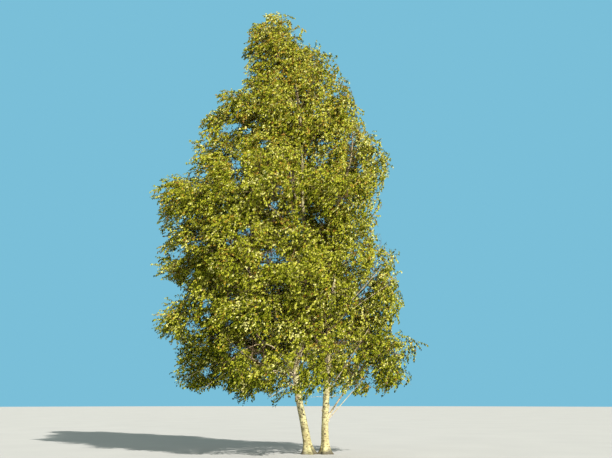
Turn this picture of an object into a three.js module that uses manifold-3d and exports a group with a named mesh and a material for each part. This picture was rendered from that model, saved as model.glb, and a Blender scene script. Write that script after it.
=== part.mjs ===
// A paper birch: two pale stems that rise from one root, tapering boughs in tiers round them,
// and masses of leafy twigs that droop at their tips. Sizes are in millimetres and +Z is up.
// +X is to the right of someone who looks along +Y, and "front" is the side nearest them.
// The origin is the middle of the flat cut under the left stem, at ground level.

import * as THREE from "three";
import { mergeVertices } from "three/addons/utils/BufferGeometryUtils.js";
import Module from "manifold-3d";

const wasm = await Module();
wasm.setup();

// The gap that every solid keeps to the one that carries it.
const SEAT_GAP = 0.3;

// Stems. Each line is the stem's middle as [height, x, y]; a stem ends at its last height.
const LEFT_STEM = {
  name: "left_stem",
  line: [
    [0, 0, 0],
    [800, -140, 5],
    [1600, -300, 15],
    [2500, -390, 30],
    [3600, -190, 45],
    [5400, -120, 30],
    [7400, -180, 0],
    [9400, -220, -20],
    [10900, -320, -10],
    [11900, -520, 0],
  ],
  footRadius: 116,
  tipRadius: 17,
  flareTurn: 0,
};
const RIGHT_STEM = {
  name: "right_stem",
  line: [
    [0, 490, 10],
    [700, 470, 5],
    [1600, 510, 0],
    [3000, 620, -20],
    [4800, 750, -20],
    [6600, 820, 10],
    [8000, 1060, 20],
    [9000, 1330, 10],
    [10000, 1400, 0],
  ],
  footRadius: 108,
  tipRadius: 17,
  flareTurn: Math.PI,
};
const STEM_SIDES = 12;
const STEM_STEPS = 15;
const STEM_TAPER = 0.92; // 1 would be a straight taper
const FOOT_STEPS = [0, 60, 150, 300, 520]; // heights of the rings that shape the root flare
const FLARE_HEIGHT = 150; // the flare fades to a third over this height
const FLARE_SPREAD = 130; // how far the foot stands out beyond the stem
const FLARE_LOBES = 5;
const FLARE_LOBE_DEPTH = 0.38;

// Tiers of foliage, from the lowest up. left and right are how far the tips reach from the
// origin on either side at that height, and depth follows from their mean. Tilt is how far the
// outer end of a mass is raised, in degrees, and half is half of a mass's height. A mass of the
// upper tiers grows on a stem, and the others on boughs.
const TIERS = [
  { height: 2780, left: 4080, right: 3560, count: 6, turn: -4, tilt: -13, half: 1020, bough: true },
  { height: 4230, left: 4740, right: 3480, count: 6, turn: 7, tilt: -11, half: 1080, bough: true },
  { height: 5760, left: 4800, right: 3060, count: 6, turn: -8, tilt: -2, half: 1080, bough: true },
  { height: 7330, left: 4800, right: 3020, count: 5, turn: 5, tilt: 4, half: 1100, bough: true },
  { height: 8990, left: 4080, right: 2860, count: 4, turn: -6, tilt: 14, half: 1120, bough: false },
  { height: 10500, left: 3200, right: 1950, count: 4, turn: 8, tilt: 16, half: 1080, bough: false },
];
const DEPTH_SHARE = 0.92; // the crown's depth as a share of its width
const INNER_SHARE = 0.27; // how near the crown's middle a mass begins
const STEM_CLEAR = 430; // and how far a mass on a bough stays from the stem
const CROWD = 1.12; // how far neighbouring spaces would overlap before they are shared out
const WIDEST_SPACE = 1750;
const FULLNESS = 2.8; // 2 makes the spaces ellipsoids, and more makes them fuller at their corners
const RIGHT_SIDE = 0.25; // a direction whose X is over this belongs to the right stem
const TURN_SPREAD = 7;
const REACH_SPREAD = 0.05;
const HEIGHT_SPREAD = 130;
// The masses at the top. The first goes on from the left stem's tip, and the second forks off
// the stem at a share of its height. Head is where a mass's own stem ends, as a share of its
// upper half, and sweep is where that stem turns upright.
const TOP_MASSES = [
  { place: "top_left", middle: [-1010, 60, 12720], radii: [1180, 1120, 1260], head: 0.62 },
  {
    place: "top_right",
    middle: [220, -40, 11900],
    radii: [1080, 1100, 1200],
    head: 0.45,
    fork: 0.9,
    sweep: -0.5,
  },
];
const TOP_STEM_RADIUS = 20;

// Boughs.
const BOUGH_SIDES = 5;
const BOUGH_STEPS = 4;
const BOUGH_ROOT_SHARE = 0.5; // a bough's radius at its root as a share of its stem's there
const BOUGH_ROOT_MOST = 46;
const BOUGH_TIP_RADIUS = 26;
const BOUGH_SLOPE = 0.72; // rise over run from the fork to the foliage
const LOWEST_FORK = 2160;
const FORK_STAGGER = 215; // between the forks of neighbouring boughs
// Where a bough enters its mass, as a share of the mass's length, how far below the mass's own
// line that is, and how far the bough bows upwards, as a share of its length.
const BOUGH_SHAPE = { reach: -0.92, drop: 0, arch: 0.1 };
// The long bough low on the right stem.
const LOW_BOUGH = "tier1_right_bough";
const LOW_BOUGH_SHAPE = { fork: 940, reach: -0.5, drop: 460, arch: 0.04 };

// Twigs and sprays. A spray is one leaf-shaped blade that stands for many small leaves.
const AXIS_REACH = 0.6; // where a mass's own stem ends, as a share of the mass's length
const AXIS_STEPS = 4;
const AXIS_TIP_RADIUS = 18;
const STEM_TWIG_RADIUS = 26; // of a mass's own stem where it leaves a tree stem
const STEM_TWIG_RISE = 0.55; // how steeply that one rises
const TWIG_SIDES = 3;
const TWIGS_PER_MASS = 5;
const SPRAYS_PER_TWIG = 3; // and one at its end
const GOLDEN_ANGLE = THREE.MathUtils.degToRad(137.5);
const TWIG_START = 0.06; // share of the mass's own stem that is left bare
const TWIG_ROOT_SHARE = 0.5; // a twig's radius at its root as a share of that stem's there
const TWIG_TIP_RADIUS = 8.5;
const TWIG_FORWARD = 0.45; // how far a twig leans along its carrier
const TWIG_LIFT = 0.2;
const TWIG_SPREAD = 0.4; // of the golden angle's turns, in radians
const TWIG_SHARE = 0.55; // a twig's length as a share of the room that it has
const TWIG_LONGEST = 1000;
const TWIG_SHORTEST = 180;
const SPRAY_FORWARD = 0.5;
const SPRAY_SPREAD = 0.5;
const SPRAY_DROOP = 0.4;
const SPRAY_LONGEST = 1200;
const SPRAY_SHORTEST = 520;
const SPRAY_SHRINK = 0.86; // the next length to try where a spray doesn't fit
const SPRAY_TURNS = 3; // the turns about its own line that are tried at each length
const SPRAY_WIDTH = 0.5; // of its length
const SPRAY_WIDEST_AT = 0.4;
const SPRAY_THICKNESS = 0.03;
const SPRAY_SUNK = 4; // how far a spray's root lies behind the middle of its twig
const SPRAY_GAP = 12; // between one spray and the next in the same mass
const SPRAY_TESTS = [0.2, 0.36, 0.6, 0.8, 1]; // the shares of its length where its place is tested
const BREEZE = new THREE.Vector3(-0.16, 0, 0); // the twigs trail a little to the left
const SPACE_GAP = 0.055; // between spaces, as a share of their radii
const LIMB_GAP = 45;
const STEM_MARGIN = 25; // how much thicker than they are the limbs count as in tests of distance
const BOUGH_MARGIN = 8;
const ROOM_STEP = 50;
const FUSE_TOLERANCE = 0.5; // slivers that are thinner than this are merged

// Every spread is drawn from the seed and a key of its own.
const SEED = 41;
const KEY = { turn: 1, reach: 2, height: 3, twig: 11, spray: 12, roll: 13, endRoll: 14, headRoll: 15 };

const STEM_BARK = new THREE.MeshStandardMaterial({ color: 0xe6dfc8, roughness: 0.75, metalness: 0 });
const BOUGH_BARK = new THREE.MeshStandardMaterial({ color: 0xb9a98a, roughness: 0.8, metalness: 0 });
const LEAF = new THREE.MeshStandardMaterial({ color: 0x8a8f2c, roughness: 0.6, metalness: 0 });

const RIGHT = new THREE.Vector3(1, 0, 0);
const BACK = new THREE.Vector3(0, 1, 0);
const UP = new THREE.Vector3(0, 0, 1);

// A number from 0 to 1 that depends only on the seed and the keys.
function chance(...keys) {
  let h = SEED;
  for (const key of keys) {
    h = Math.imul(h ^ (key + 1), 0x9e3779b1) >>> 0;
    h = (h ^ (h >>> 15)) >>> 0;
  }
  h = Math.imul(h, 0x85ebca6b) >>> 0;
  return ((h ^ (h >>> 13)) >>> 0) / 2 ** 32;
}

const either = (spread, ...keys) => spread * (2 * chance(...keys) - 1);

// Solids and meshes

function solidOf(geometry) {
  const bare = geometry.clone();
  bare.deleteAttribute("normal");
  bare.deleteAttribute("uv");
  const merged = mergeVertices(bare, 1e-3);
  const mesh = new wasm.Mesh({
    numProp: 3,
    vertProperties: new Float32Array(merged.attributes.position.array),
    triVerts: new Uint32Array(merged.index.array),
  });
  return new wasm.Manifold(mesh);
}

// The largest body of a solid as a named mesh, so that no loose scrap stays.
function meshOf(name, solid, material) {
  const bodies = solid.decompose().sort((a, b) => b.volume() - a.volume());
  const made = bodies[0].getMesh();
  const geometry = new THREE.BufferGeometry();
  geometry.setAttribute("position", new THREE.BufferAttribute(new Float32Array(made.vertProperties), 3));
  geometry.setIndex(new THREE.BufferAttribute(new Uint32Array(made.triVerts), 1));
  geometry.computeVertexNormals();
  const mesh = new THREE.Mesh(geometry, material);
  mesh.name = name;
  return mesh;
}

// A cylinder bent and tapered: ringOf(step) gives a ring's middle, its two axes and its radius.
function bentCylinder(sides, steps, ringOf, radiusFactor = () => 1) {
  const geometry = new THREE.CylinderGeometry(1, 1, steps, sides, steps);
  const place = geometry.attributes.position;
  const rings = Array.from({ length: steps + 1 }, (_, step) => ringOf(step));
  for (let i = 0; i < place.count; i += 1) {
    const step = Math.round(place.getY(i) + steps / 2);
    const [x, z] = [place.getX(i), place.getZ(i)];
    const angle = Math.atan2(-z, x);
    const ring = rings[step];
    const away = Math.hypot(x, z) * ring.radius * radiusFactor(angle, step);
    const point = ring.middle.clone();
    point.addScaledVector(ring.across, Math.cos(angle) * away);
    point.addScaledVector(ring.beside, Math.sin(angle) * away);
    place.setXYZ(i, point.x, point.y, point.z);
  }
  return geometry;
}

// Two axes across a direction.
function axesAcross(direction) {
  const beside = new THREE.Vector3().crossVectors(UP, direction);
  if (beside.length() < 0.05) beside.copy(RIGHT);
  beside.normalize();
  return { beside, across: new THREE.Vector3().crossVectors(beside, direction).normalize() };
}

// A tapering limb along a curve.
function limbSolid(curve, sides, steps, rootRadius, tipRadius) {
  const ringOf = (step) => {
    const t = step / steps;
    return {
      middle: curve.getPoint(t),
      ...axesAcross(curve.getTangent(t)),
      radius: rootRadius + (tipRadius - rootRadius) * t,
    };
  };
  return solidOf(bentCylinder(sides, steps, ringOf));
}

// Stems

// The slope of a line's column at one of its rows, from the rows on either side.
function slopeAt(line, row, column) {
  const before = line[Math.max(row - 1, 0)];
  const after = line[Math.min(row + 1, line.length - 1)];
  return (after[column] - before[column]) / (after[0] - before[0]);
}

// The middle of a stem at a height, on a smooth curve through its line.
function stemMiddle(stem, height) {
  const { line } = stem;
  let row = 0;
  while (row < line.length - 2 && line[row + 1][0] < height) row += 1;
  const [from, to] = [line[row], line[row + 1]];
  const span = to[0] - from[0];
  const t = (height - from[0]) / span;
  const column = (c) =>
    (1 + 2 * t) * (1 - t) ** 2 * from[c] +
    t * (1 - t) ** 2 * span * slopeAt(line, row, c) +
    t * t * (3 - 2 * t) * to[c] +
    t * t * (t - 1) * span * slopeAt(line, row + 1, c);
  return new THREE.Vector3(column(1), column(2), height);
}

const stemTop = (stem) => stem.line[stem.line.length - 1][0];

// A stem's radius above its flare.
function stemRadius(stem, height) {
  const left = Math.max(1 - height / stemTop(stem), 0);
  return stem.tipRadius + (stem.footRadius - stem.tipRadius) * left ** STEM_TAPER;
}

// A stem with its lobed root flare, grown outwards and upwards by `extra` to cut seats with.
function stemSolid(stem, extra = 0) {
  const footTop = FOOT_STEPS[FOOT_STEPS.length - 1];
  const above = STEM_STEPS - FOOT_STEPS.length + 1;
  const heightOf = (step) =>
    FOOT_STEPS[step] ?? footTop + ((stemTop(stem) - footTop) * (step - FOOT_STEPS.length + 1)) / above;
  const ringOf = (step) => {
    const height = heightOf(step);
    const middle = stemMiddle(stem, height).setZ(height + (step === STEM_STEPS ? extra : 0));
    return { middle, across: RIGHT, beside: BACK, radius: 1 };
  };
  const radiusFactor = (angle, step) => {
    const height = heightOf(step);
    const flare = FLARE_SPREAD * Math.exp(-height / FLARE_HEIGHT);
    const lobe = 1 + FLARE_LOBE_DEPTH * Math.cos(FLARE_LOBES * (angle - stem.flareTurn));
    return stemRadius(stem, height) + flare * lobe + extra;
  };
  return solidOf(bentCylinder(STEM_SIDES, STEM_STEPS, ringOf, radiusFactor));
}

// A block round the stems' feet that begins at one X and ends at another.
function footBlock(from, to) {
  const size = 2 * FOOT_STEPS[FOOT_STEPS.length - 1];
  const box = new THREE.BoxGeometry(to - from, size, size);
  box.translate((from + to) / 2, 0, 0);
  return solidOf(box);
}

// The stem that carries what grows out in a direction.
const stemOn = (outward) => (outward.x > RIGHT_SIDE ? RIGHT_STEM : LEFT_STEM);

// Spaces for the masses of foliage

// left, back_left and so on, for a direction in degrees.
function sideWord(degrees) {
  const words = ["right", "back_right", "back", "back_left", "left", "front_left", "front", "front_right"];
  return words[Math.round((((degrees % 360) + 360) % 360) / 45) % words.length];
}

// A mass has a middle, three axes and three radii: its length, its width and its height.
function tierMass(tier, row, k) {
  const middleX = (tier.right - tier.left) / 2;
  const halfWidth = (tier.right + tier.left) / 2;
  const degrees = 180 + tier.turn + (360 * k) / tier.count + either(TURN_SPREAD, row, k, KEY.turn);
  const angle = THREE.MathUtils.degToRad(degrees);
  const outward = new THREE.Vector3(Math.cos(angle), Math.sin(angle), 0);
  const flank = new THREE.Vector3(-outward.y, outward.x, 0);
  const edge = halfWidth / Math.hypot(outward.x, outward.y / DEPTH_SHARE);
  const outer = edge * (1 + either(REACH_SPREAD, row, k, KEY.reach));
  const stemOffset = stemMiddle(stemOn(outward), tier.height).sub(new THREE.Vector3(middleX, 0, 0));
  const clear = tier.bough ? stemOffset.dot(outward) + STEM_CLEAR : 0;
  const inner = Math.max(INNER_SHARE * edge, clear);
  const away = (outer + inner) / 2;
  const tilt = THREE.MathUtils.degToRad(tier.tilt);
  const along = outward.clone().multiplyScalar(Math.cos(tilt)).addScaledVector(UP, Math.sin(tilt));
  const middle = new THREE.Vector3(middleX, 0, tier.height + either(HEIGHT_SPREAD, row, k, KEY.height));
  const halfFlank = Math.min(away * Math.sin(Math.PI / tier.count) * CROWD, WIDEST_SPACE);
  return {
    place: `tier${row + 1}_${sideWord(degrees)}`,
    onBough: tier.bough,
    turnInTier: k,
    outward,
    middle: middle.addScaledVector(outward, away),
    axes: [along, flank, new THREE.Vector3().crossVectors(along, flank)],
    radii: [(outer - inner) / 2 / Math.cos(tilt), halfFlank, tier.half],
  };
}

function topMass(top) {
  return { ...top, onBough: false, top, middle: new THREE.Vector3(...top.middle), axes: [RIGHT, BACK, UP] };
}

function allMasses() {
  const turns = (tier) => Array.from({ length: tier.count }, (_, k) => k);
  const inTiers = TIERS.flatMap((tier, row) => turns(tier).map((k) => tierMass(tier, row, k)));
  return [...inTiers, ...TOP_MASSES.map(topMass)].map((mass, id) => ({ ...mass, id }));
}

// How far out a point lies in a mass's space: 0 at its middle and 1 at its edge.
function depthIn(mass, point) {
  const from = point.clone().sub(mass.middle);
  const parts = mass.axes.map((axis, i) => Math.abs(from.dot(axis) / mass.radii[i]) ** FULLNESS);
  return (parts[0] + parts[1] + parts[2]) ** (1 / FULLNESS);
}

// True where a point is in the mass's own space, clear of every neighbour's.
function isOwn(mass, masses, point) {
  const own = depthIn(mass, point);
  return own < 1 && masses.every((other) => other === mass || own + SPACE_GAP < depthIn(other, point));
}

// True where a point is clear of every limb.
function clearOfLimbs(limbs, point) {
  return limbs.every((limb) => limb.every(({ at, radius }) => at.distanceTo(point) > radius + LIMB_GAP));
}

// The length that a straight twig may have from a point before it leaves the space.
function roomFrom(mass, masses, point, direction, longest) {
  const at = point.clone();
  let length = 0;
  while (length < longest) {
    at.addScaledVector(direction, ROOM_STEP);
    if (!isOwn(mass, masses, at)) break;
    length += ROOM_STEP;
  }
  return Math.min(length, longest);
}

// Places and radii along a limb, for tests of distance.
function sampled(placeAt, radiusAt, count) {
  const shares = Array.from({ length: count + 1 }, (_, i) => i / count);
  return shares.map((share) => ({ at: placeAt(share), radius: radiusAt(share) }));
}

// Limbs

// The bough that carries a mass, from its fork on the stem to where the foliage begins.
function boughOf(mass) {
  const name = `${mass.place}_bough`;
  const shape = name === LOW_BOUGH ? LOW_BOUGH_SHAPE : BOUGH_SHAPE;
  const stem = stemOn(mass.outward);
  const tip = mass.middle.clone().addScaledVector(mass.axes[0], shape.reach * mass.radii[0]);
  tip.z -= shape.drop;
  const near = stemMiddle(stem, tip.z);
  const run = Math.hypot(tip.x - near.x, tip.y - near.y);
  const stagger = ((mass.turnInTier % 3) - 1) * FORK_STAGGER;
  const fork = shape.fork ?? Math.max(tip.z - BOUGH_SLOPE * run, LOWEST_FORK) + stagger;
  const root = stemMiddle(stem, fork);
  const bend = root.clone().lerp(tip, 0.5);
  bend.z += shape.arch * root.distanceTo(tip);
  return {
    name,
    mass,
    stem,
    curve: new THREE.QuadraticBezierCurve3(root, bend, tip),
    rootRadius: Math.min(BOUGH_ROOT_SHARE * stemRadius(stem, fork), BOUGH_ROOT_MOST),
    tipRadius: BOUGH_TIP_RADIUS,
  };
}

// The line of a mass's own stem that goes on from its bough.
function axisOnBough(mass, bough) {
  const way = bough.curve.getTangent(1);
  const start = bough.curve.getPoint(1).addScaledVector(way, SEAT_GAP);
  const end = mass.middle.clone().addScaledVector(mass.axes[0], AXIS_REACH * mass.radii[0]);
  const bend = start.clone().addScaledVector(way, 0.45 * start.distanceTo(end));
  return { curve: new THREE.QuadraticBezierCurve3(start, bend, end), radius: bough.tipRadius };
}

// The line of a mass's own stem that leaves a tree stem and rises outwards.
function axisOnStem(mass) {
  const onStem = stemOn(mass.outward);
  const run = Math.hypot(mass.middle.x, mass.middle.y);
  const fork = Math.min(mass.middle.z - STEM_TWIG_RISE * run, stemTop(onStem) - 250);
  const root = stemMiddle(onStem, fork);
  const end = mass.middle.clone().addScaledVector(mass.axes[0], AXIS_REACH * mass.radii[0]);
  const bend = root.clone().lerp(end, 0.5).addScaledVector(UP, 0.1 * run);
  return { curve: new THREE.QuadraticBezierCurve3(root, bend, end), radius: STEM_TWIG_RADIUS, onStem };
}

// The line of a top mass's own stem: on from the stem's tip, or up from a fork below it.
function axisAtTop(mass) {
  const { head, fork, sweep } = mass.top;
  const end = mass.middle.clone().addScaledVector(UP, head * mass.radii[2]);
  const tipHeight = stemTop(LEFT_STEM);
  if (fork) {
    const root = stemMiddle(LEFT_STEM, tipHeight * fork);
    const bend = mass.middle.clone().addScaledVector(UP, sweep * mass.radii[2]);
    const curve = new THREE.QuadraticBezierCurve3(root, bend, end);
    return { curve, radius: TOP_STEM_RADIUS, onStem: LEFT_STEM };
  }
  const start = stemMiddle(LEFT_STEM, tipHeight - 15);
  const way = stemMiddle(LEFT_STEM, tipHeight).sub(stemMiddle(LEFT_STEM, tipHeight - 60)).normalize();
  const bend = start.clone().addScaledVector(way, 0.5 * start.distanceTo(end));
  const curve = new THREE.QuadraticBezierCurve3(start, bend, end);
  return { curve, radius: LEFT_STEM.tipRadius - 3, onStem: LEFT_STEM };
}

function axisOf(mass, bough) {
  if (bough) return axisOnBough(mass, bough);
  return mass.top ? axisAtTop(mass) : axisOnStem(mass);
}

// A direction turned down by a droop, or up by a negative one, and aside by the breeze.
function drooped(direction, droop) {
  return direction.clone().addScaledVector(UP, -droop).add(BREEZE).normalize();
}

// The direction of a side shoot that leaves a limb at a turn round it.
function shootDirection(tangent, turn, forward) {
  const { beside, across } = axesAcross(tangent);
  const shoot = tangent.clone().multiplyScalar(forward);
  return shoot.addScaledVector(beside, Math.cos(turn)).addScaledVector(across, Math.sin(turn)).normalize();
}

// The side twigs of a mass's own stem: each has its line and its solid.
function sideTwigs({ curve, radius }, { mass, masses, limbs }) {
  const twigs = [];
  for (let k = 0; k < TWIGS_PER_MASS; k += 1) {
    const t = TWIG_START + (1 - TWIG_START) * ((k + 0.35) / TWIGS_PER_MASS);
    const root = curve.getPoint(t);
    const turn = k * GOLDEN_ANGLE + mass.id + either(TWIG_SPREAD, mass.id, k, KEY.twig);
    const way = drooped(shootDirection(curve.getTangent(t), turn, TWIG_FORWARD), -TWIG_LIFT);
    const room = roomFrom(mass, masses, root, way, TWIG_LONGEST / TWIG_SHARE);
    const line = new THREE.LineCurve3(root, root.clone().addScaledVector(way, TWIG_SHARE * room));
    const outside = [0.3, 0.5, 0.7, 0.85, 1].map((s) => line.getPoint(s));
    const fits = outside.every((point) => clearOfLimbs(limbs, point));
    if (TWIG_SHARE * room < TWIG_SHORTEST || !fits) continue;
    const rootRadius = TWIG_ROOT_SHARE * (radius + (AXIS_TIP_RADIUS - radius) * t);
    twigs.push({ k, turn, line, solid: limbSolid(line, TWIG_SIDES, 1, rootRadius, TWIG_TIP_RADIUS) });
  }
  return twigs;
}

// Sprays

// A blade of six faces: a root, a tip, two side points and a ridge over a flat underside.
function bladeSolid({ root, direction, length, side, ridge }) {
  const geometry = new THREE.SphereGeometry(1, 3, 2);
  const place = geometry.attributes.position;
  const halfWidth = (SPRAY_WIDTH * length) / 2;
  const ridgeHeight = (SPRAY_THICKNESS * length) / 1.5;
  for (let i = 0; i < place.count; i += 1) {
    const [x, y, z] = [place.getX(i), place.getY(i), place.getZ(i)];
    const along = Math.abs(y) < 0.5 ? SPRAY_WIDEST_AT : (y + 1) / 2;
    const point = root.clone().addScaledVector(direction, along * length);
    point.addScaledVector(side, (z / Math.sin(Math.PI / 3)) * halfWidth);
    point.addScaledVector(ridge, -x * ridgeHeight);
    place.setXYZ(i, point.x, point.y, point.z);
  }
  return solidOf(geometry);
}

// True if a blade stays in its mass's space and clear of every limb.
function bladeFits({ root, direction, length, side }, { mass, masses, limbs }) {
  return SPRAY_TESTS.every((along) => {
    const taper = along < SPRAY_WIDEST_AT ? along / SPRAY_WIDEST_AT : (1 - along) / (1 - SPRAY_WIDEST_AT);
    return [-1, 0, 1].every((aside) => {
      const point = root.clone().addScaledVector(direction, along * length);
      point.addScaledVector(side, (aside * taper * SPRAY_WIDTH * length) / 2);
      return isOwn(mass, masses, point) && clearOfLimbs(limbs, point);
    });
  });
}

// The longest blade that fits at a place and meets none of those in the way, or null.
function fittedBlade(at, direction, turn, setting, inTheWay) {
  const { beside, across } = axesAcross(direction);
  const root = at.clone().addScaledVector(direction, -SPRAY_SUNK);
  let length = roomFrom(setting.mass, setting.masses, at, direction, SPRAY_LONGEST) + SPRAY_SUNK;
  for (; length >= SPRAY_SHORTEST; length *= SPRAY_SHRINK) {
    for (let k = 0; k < SPRAY_TURNS; k += 1) {
      const roll = turn + (k * Math.PI) / SPRAY_TURNS;
      const side = beside.clone().multiplyScalar(Math.cos(roll)).addScaledVector(across, Math.sin(roll));
      const ridge = new THREE.Vector3().crossVectors(side, direction);
      const blade = { root, direction, length, side, ridge };
      if (!bladeFits(blade, setting)) continue;
      const solid = bladeSolid(blade);
      if (inTheWay.every((other) => solid.minGap(other, SPRAY_GAP) >= SPRAY_GAP)) return solid;
    }
  }
  return null;
}

// A mass of foliage: its own stem, side twigs round it and sprays on them.
function foliageSolid(axisLine, setting) {
  const { id } = setting.mass;
  const { curve, radius } = axisLine;
  const axis = limbSolid(curve, TWIG_SIDES, AXIS_STEPS, radius, AXIS_TIP_RADIUS);
  const twigs = sideTwigs(axisLine, setting);
  const wood = [axis, ...twigs.map((twig) => twig.solid)];
  const blades = [];
  const addBlade = (at, direction, carrier, ...keys) => {
    const inTheWay = [...wood.filter((solid) => solid !== carrier), ...blades];
    const blade = fittedBlade(at, direction, either(Math.PI, id, ...keys), setting, inTheWay);
    if (blade) blades.push(blade);
  };
  for (const { k, turn, line, solid } of twigs) {
    const tangent = line.getTangent(0.5);
    addBlade(line.getPoint(0.97), drooped(tangent, SPRAY_DROOP), solid, k, KEY.endRoll);
    for (let j = 0; j < SPRAYS_PER_TWIG; j += 1) {
      const sprayTurn = turn + (j + 1) * GOLDEN_ANGLE + either(SPRAY_SPREAD, id, k, j, KEY.spray);
      const way = drooped(shootDirection(tangent, sprayTurn, SPRAY_FORWARD), SPRAY_DROOP);
      addBlade(line.getPoint((j + 0.9) / (SPRAYS_PER_TWIG + 0.4)), way, solid, k, j, KEY.roll);
    }
  }
  addBlade(curve.getPoint(0.98), drooped(curve.getTangent(1), SPRAY_DROOP / 2), axis, KEY.headRoll);
  return [...wood, ...blades].reduce((a, b) => a.add(b)).simplify(FUSE_TOLERANCE);
}

// The tree

const tree = new THREE.Group();
tree.name = "paper_birch";

// The stems stand side by side on one root, and their flares meet face to face between them.
const between = stemMiddle(RIGHT_STEM, 0).x / 2;
const beyondLeft = footBlock(between - SEAT_GAP / 2, 2 * between);
const beyondRight = footBlock(0, between + SEAT_GAP / 2);
tree.add(meshOf(LEFT_STEM.name, stemSolid(LEFT_STEM).subtract(beyondLeft), STEM_BARK));
tree.add(meshOf(RIGHT_STEM.name, stemSolid(RIGHT_STEM).subtract(beyondRight), STEM_BARK));

const seatCutters = new Map([LEFT_STEM, RIGHT_STEM].map((stem) => [stem, stemSolid(stem, SEAT_GAP)]));
const masses = allMasses();
const boughs = masses.filter((mass) => mass.onBough).map(boughOf);
for (const { name, stem, curve, rootRadius, tipRadius } of boughs) {
  const limb = limbSolid(curve, BOUGH_SIDES, BOUGH_STEPS, rootRadius, tipRadius);
  tree.add(meshOf(name, limb.subtract(seatCutters.get(stem)), BOUGH_BARK));
}

const stemPlaces = [LEFT_STEM, RIGHT_STEM].map((stem) =>
  sampled(
    (t) => stemMiddle(stem, t * stemTop(stem)),
    (t) => stemRadius(stem, t * stemTop(stem)) + STEM_MARGIN,
    160
  )
);
const boughPlaces = boughs.map(({ curve, rootRadius, tipRadius }) =>
  sampled(
    (t) => curve.getPoint(t * 0.98),
    (t) => rootRadius + (tipRadius - rootRadius) * t + BOUGH_MARGIN,
    50
  )
);
const limbs = [...stemPlaces, ...boughPlaces];
for (const mass of masses) {
  const bough = boughs.find((one) => one.mass === mass);
  const axisLine = axisOf(mass, bough);
  const solid = foliageSolid(axisLine, { mass, masses, limbs });
  const seated = axisLine.onStem ? solid.subtract(seatCutters.get(axisLine.onStem)) : solid;
  tree.add(meshOf(`${mass.place}_leaves`, seated, LEAF));
}

export default tree;
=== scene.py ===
# A paper birch of two pale stems from one root. The stems and boughs get bark in relief, and every
# mass of foliage gets twigs and leaves that grow by the same seeded rule as its solid, carried on to
# finer twigs within the crown's outline. Sizes are in metres.

import math
from types import SimpleNamespace

import bpy
import numpy as np
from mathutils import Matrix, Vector, kdtree


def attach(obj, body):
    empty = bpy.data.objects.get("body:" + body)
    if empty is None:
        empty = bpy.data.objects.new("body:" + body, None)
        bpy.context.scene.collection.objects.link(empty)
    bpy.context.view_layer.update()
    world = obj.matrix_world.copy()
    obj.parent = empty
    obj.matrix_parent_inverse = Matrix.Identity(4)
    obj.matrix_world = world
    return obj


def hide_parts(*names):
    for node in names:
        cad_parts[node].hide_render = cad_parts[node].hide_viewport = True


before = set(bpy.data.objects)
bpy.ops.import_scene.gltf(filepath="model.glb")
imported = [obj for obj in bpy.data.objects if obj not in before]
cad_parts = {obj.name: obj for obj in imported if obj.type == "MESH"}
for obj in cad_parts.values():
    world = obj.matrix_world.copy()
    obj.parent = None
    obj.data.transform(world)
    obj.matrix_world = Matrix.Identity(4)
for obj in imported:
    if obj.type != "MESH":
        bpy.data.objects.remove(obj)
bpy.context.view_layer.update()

# The stems, boughs and spaces of the solids. A stem's line is its middle as (height, x, y).
LEFT_STEM = SimpleNamespace(
    name="left_stem",
    line=np.array([
        (0, 0, 0),
        (0.8, -0.14, 0.005),
        (1.6, -0.3, 0.015),
        (2.5, -0.39, 0.03),
        (3.6, -0.19, 0.045),
        (5.4, -0.12, 0.03),
        (7.4, -0.18, 0),
        (9.4, -0.22, -0.02),
        (10.9, -0.32, -0.01),
        (11.9, -0.52, 0),
    ]),
    foot_radius=0.116,
    tip_radius=0.017,
    flare_turn=0.0,
    key=1,
)
RIGHT_STEM = SimpleNamespace(
    name="right_stem",
    line=np.array([
        (0, 0.49, 0.01),
        (0.7, 0.47, 0.005),
        (1.6, 0.51, 0),
        (3, 0.62, -0.02),
        (4.8, 0.75, -0.02),
        (6.6, 0.82, 0.01),
        (8, 1.06, 0.02),
        (9, 1.33, 0.01),
        (10, 1.4, 0),
    ]),
    foot_radius=0.108,
    tip_radius=0.017,
    flare_turn=math.pi,
    key=2,
)
STEMS = [LEFT_STEM, RIGHT_STEM]
STEM_TAPER = 0.92  # 1 would be a straight taper
FLARE_HEIGHT = 0.15
FLARE_SPREAD = 0.13
FLARE_LOBES = 5
FLARE_LOBE_DEPTH = 0.38

# height, left reach, right reach, count of masses, turn, tilt, half height, and whether on boughs
TIERS = [
    (2.78, 4.08, 3.56, 6, -4, -13, 1.02, True),
    (4.23, 4.74, 3.48, 6, 7, -11, 1.08, True),
    (5.76, 4.8, 3.06, 6, -8, -2, 1.08, True),
    (7.33, 4.8, 3.02, 5, 5, 4, 1.1, True),
    (8.99, 4.08, 2.86, 4, -6, 14, 1.12, False),
    (10.5, 3.2, 1.95, 4, 8, 16, 1.08, False),
]
DEPTH_SHARE = 0.92  # the crown's depth as a share of its width
INNER_SHARE = 0.27  # where a space starts, as a share of the crown's reach there
STEM_CLEAR = 0.43  # how far a space on a bough stays from its stem
CROWD = 1.12  # how wide a space is, as a share of its part of the round
WIDEST_SPACE = 1.75
FULLNESS = 2.8  # how square a space is: 2 would be an ellipsoid
RIGHT_SIDE = 0.25  # masses whose direction has a larger x than this grow on the right stem
TURN_SPREAD = 7
REACH_SPREAD = 0.05
HEIGHT_SPREAD = 0.13
SIDE_WORDS = ["right", "back_right", "back", "back_left", "left", "front_left", "front", "front_right"]
# place, middle, radii, head, fork and sweep
TOP_MASSES = [
    ("top_left", (-1.01, 0.06, 12.72), (1.18, 1.12, 1.26), 0.62, None, None),
    ("top_right", (0.22, -0.04, 11.9), (1.08, 1.1, 1.2), 0.45, 0.9, -0.5),
]
TOP_STEM_RADIUS = 0.02

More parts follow.
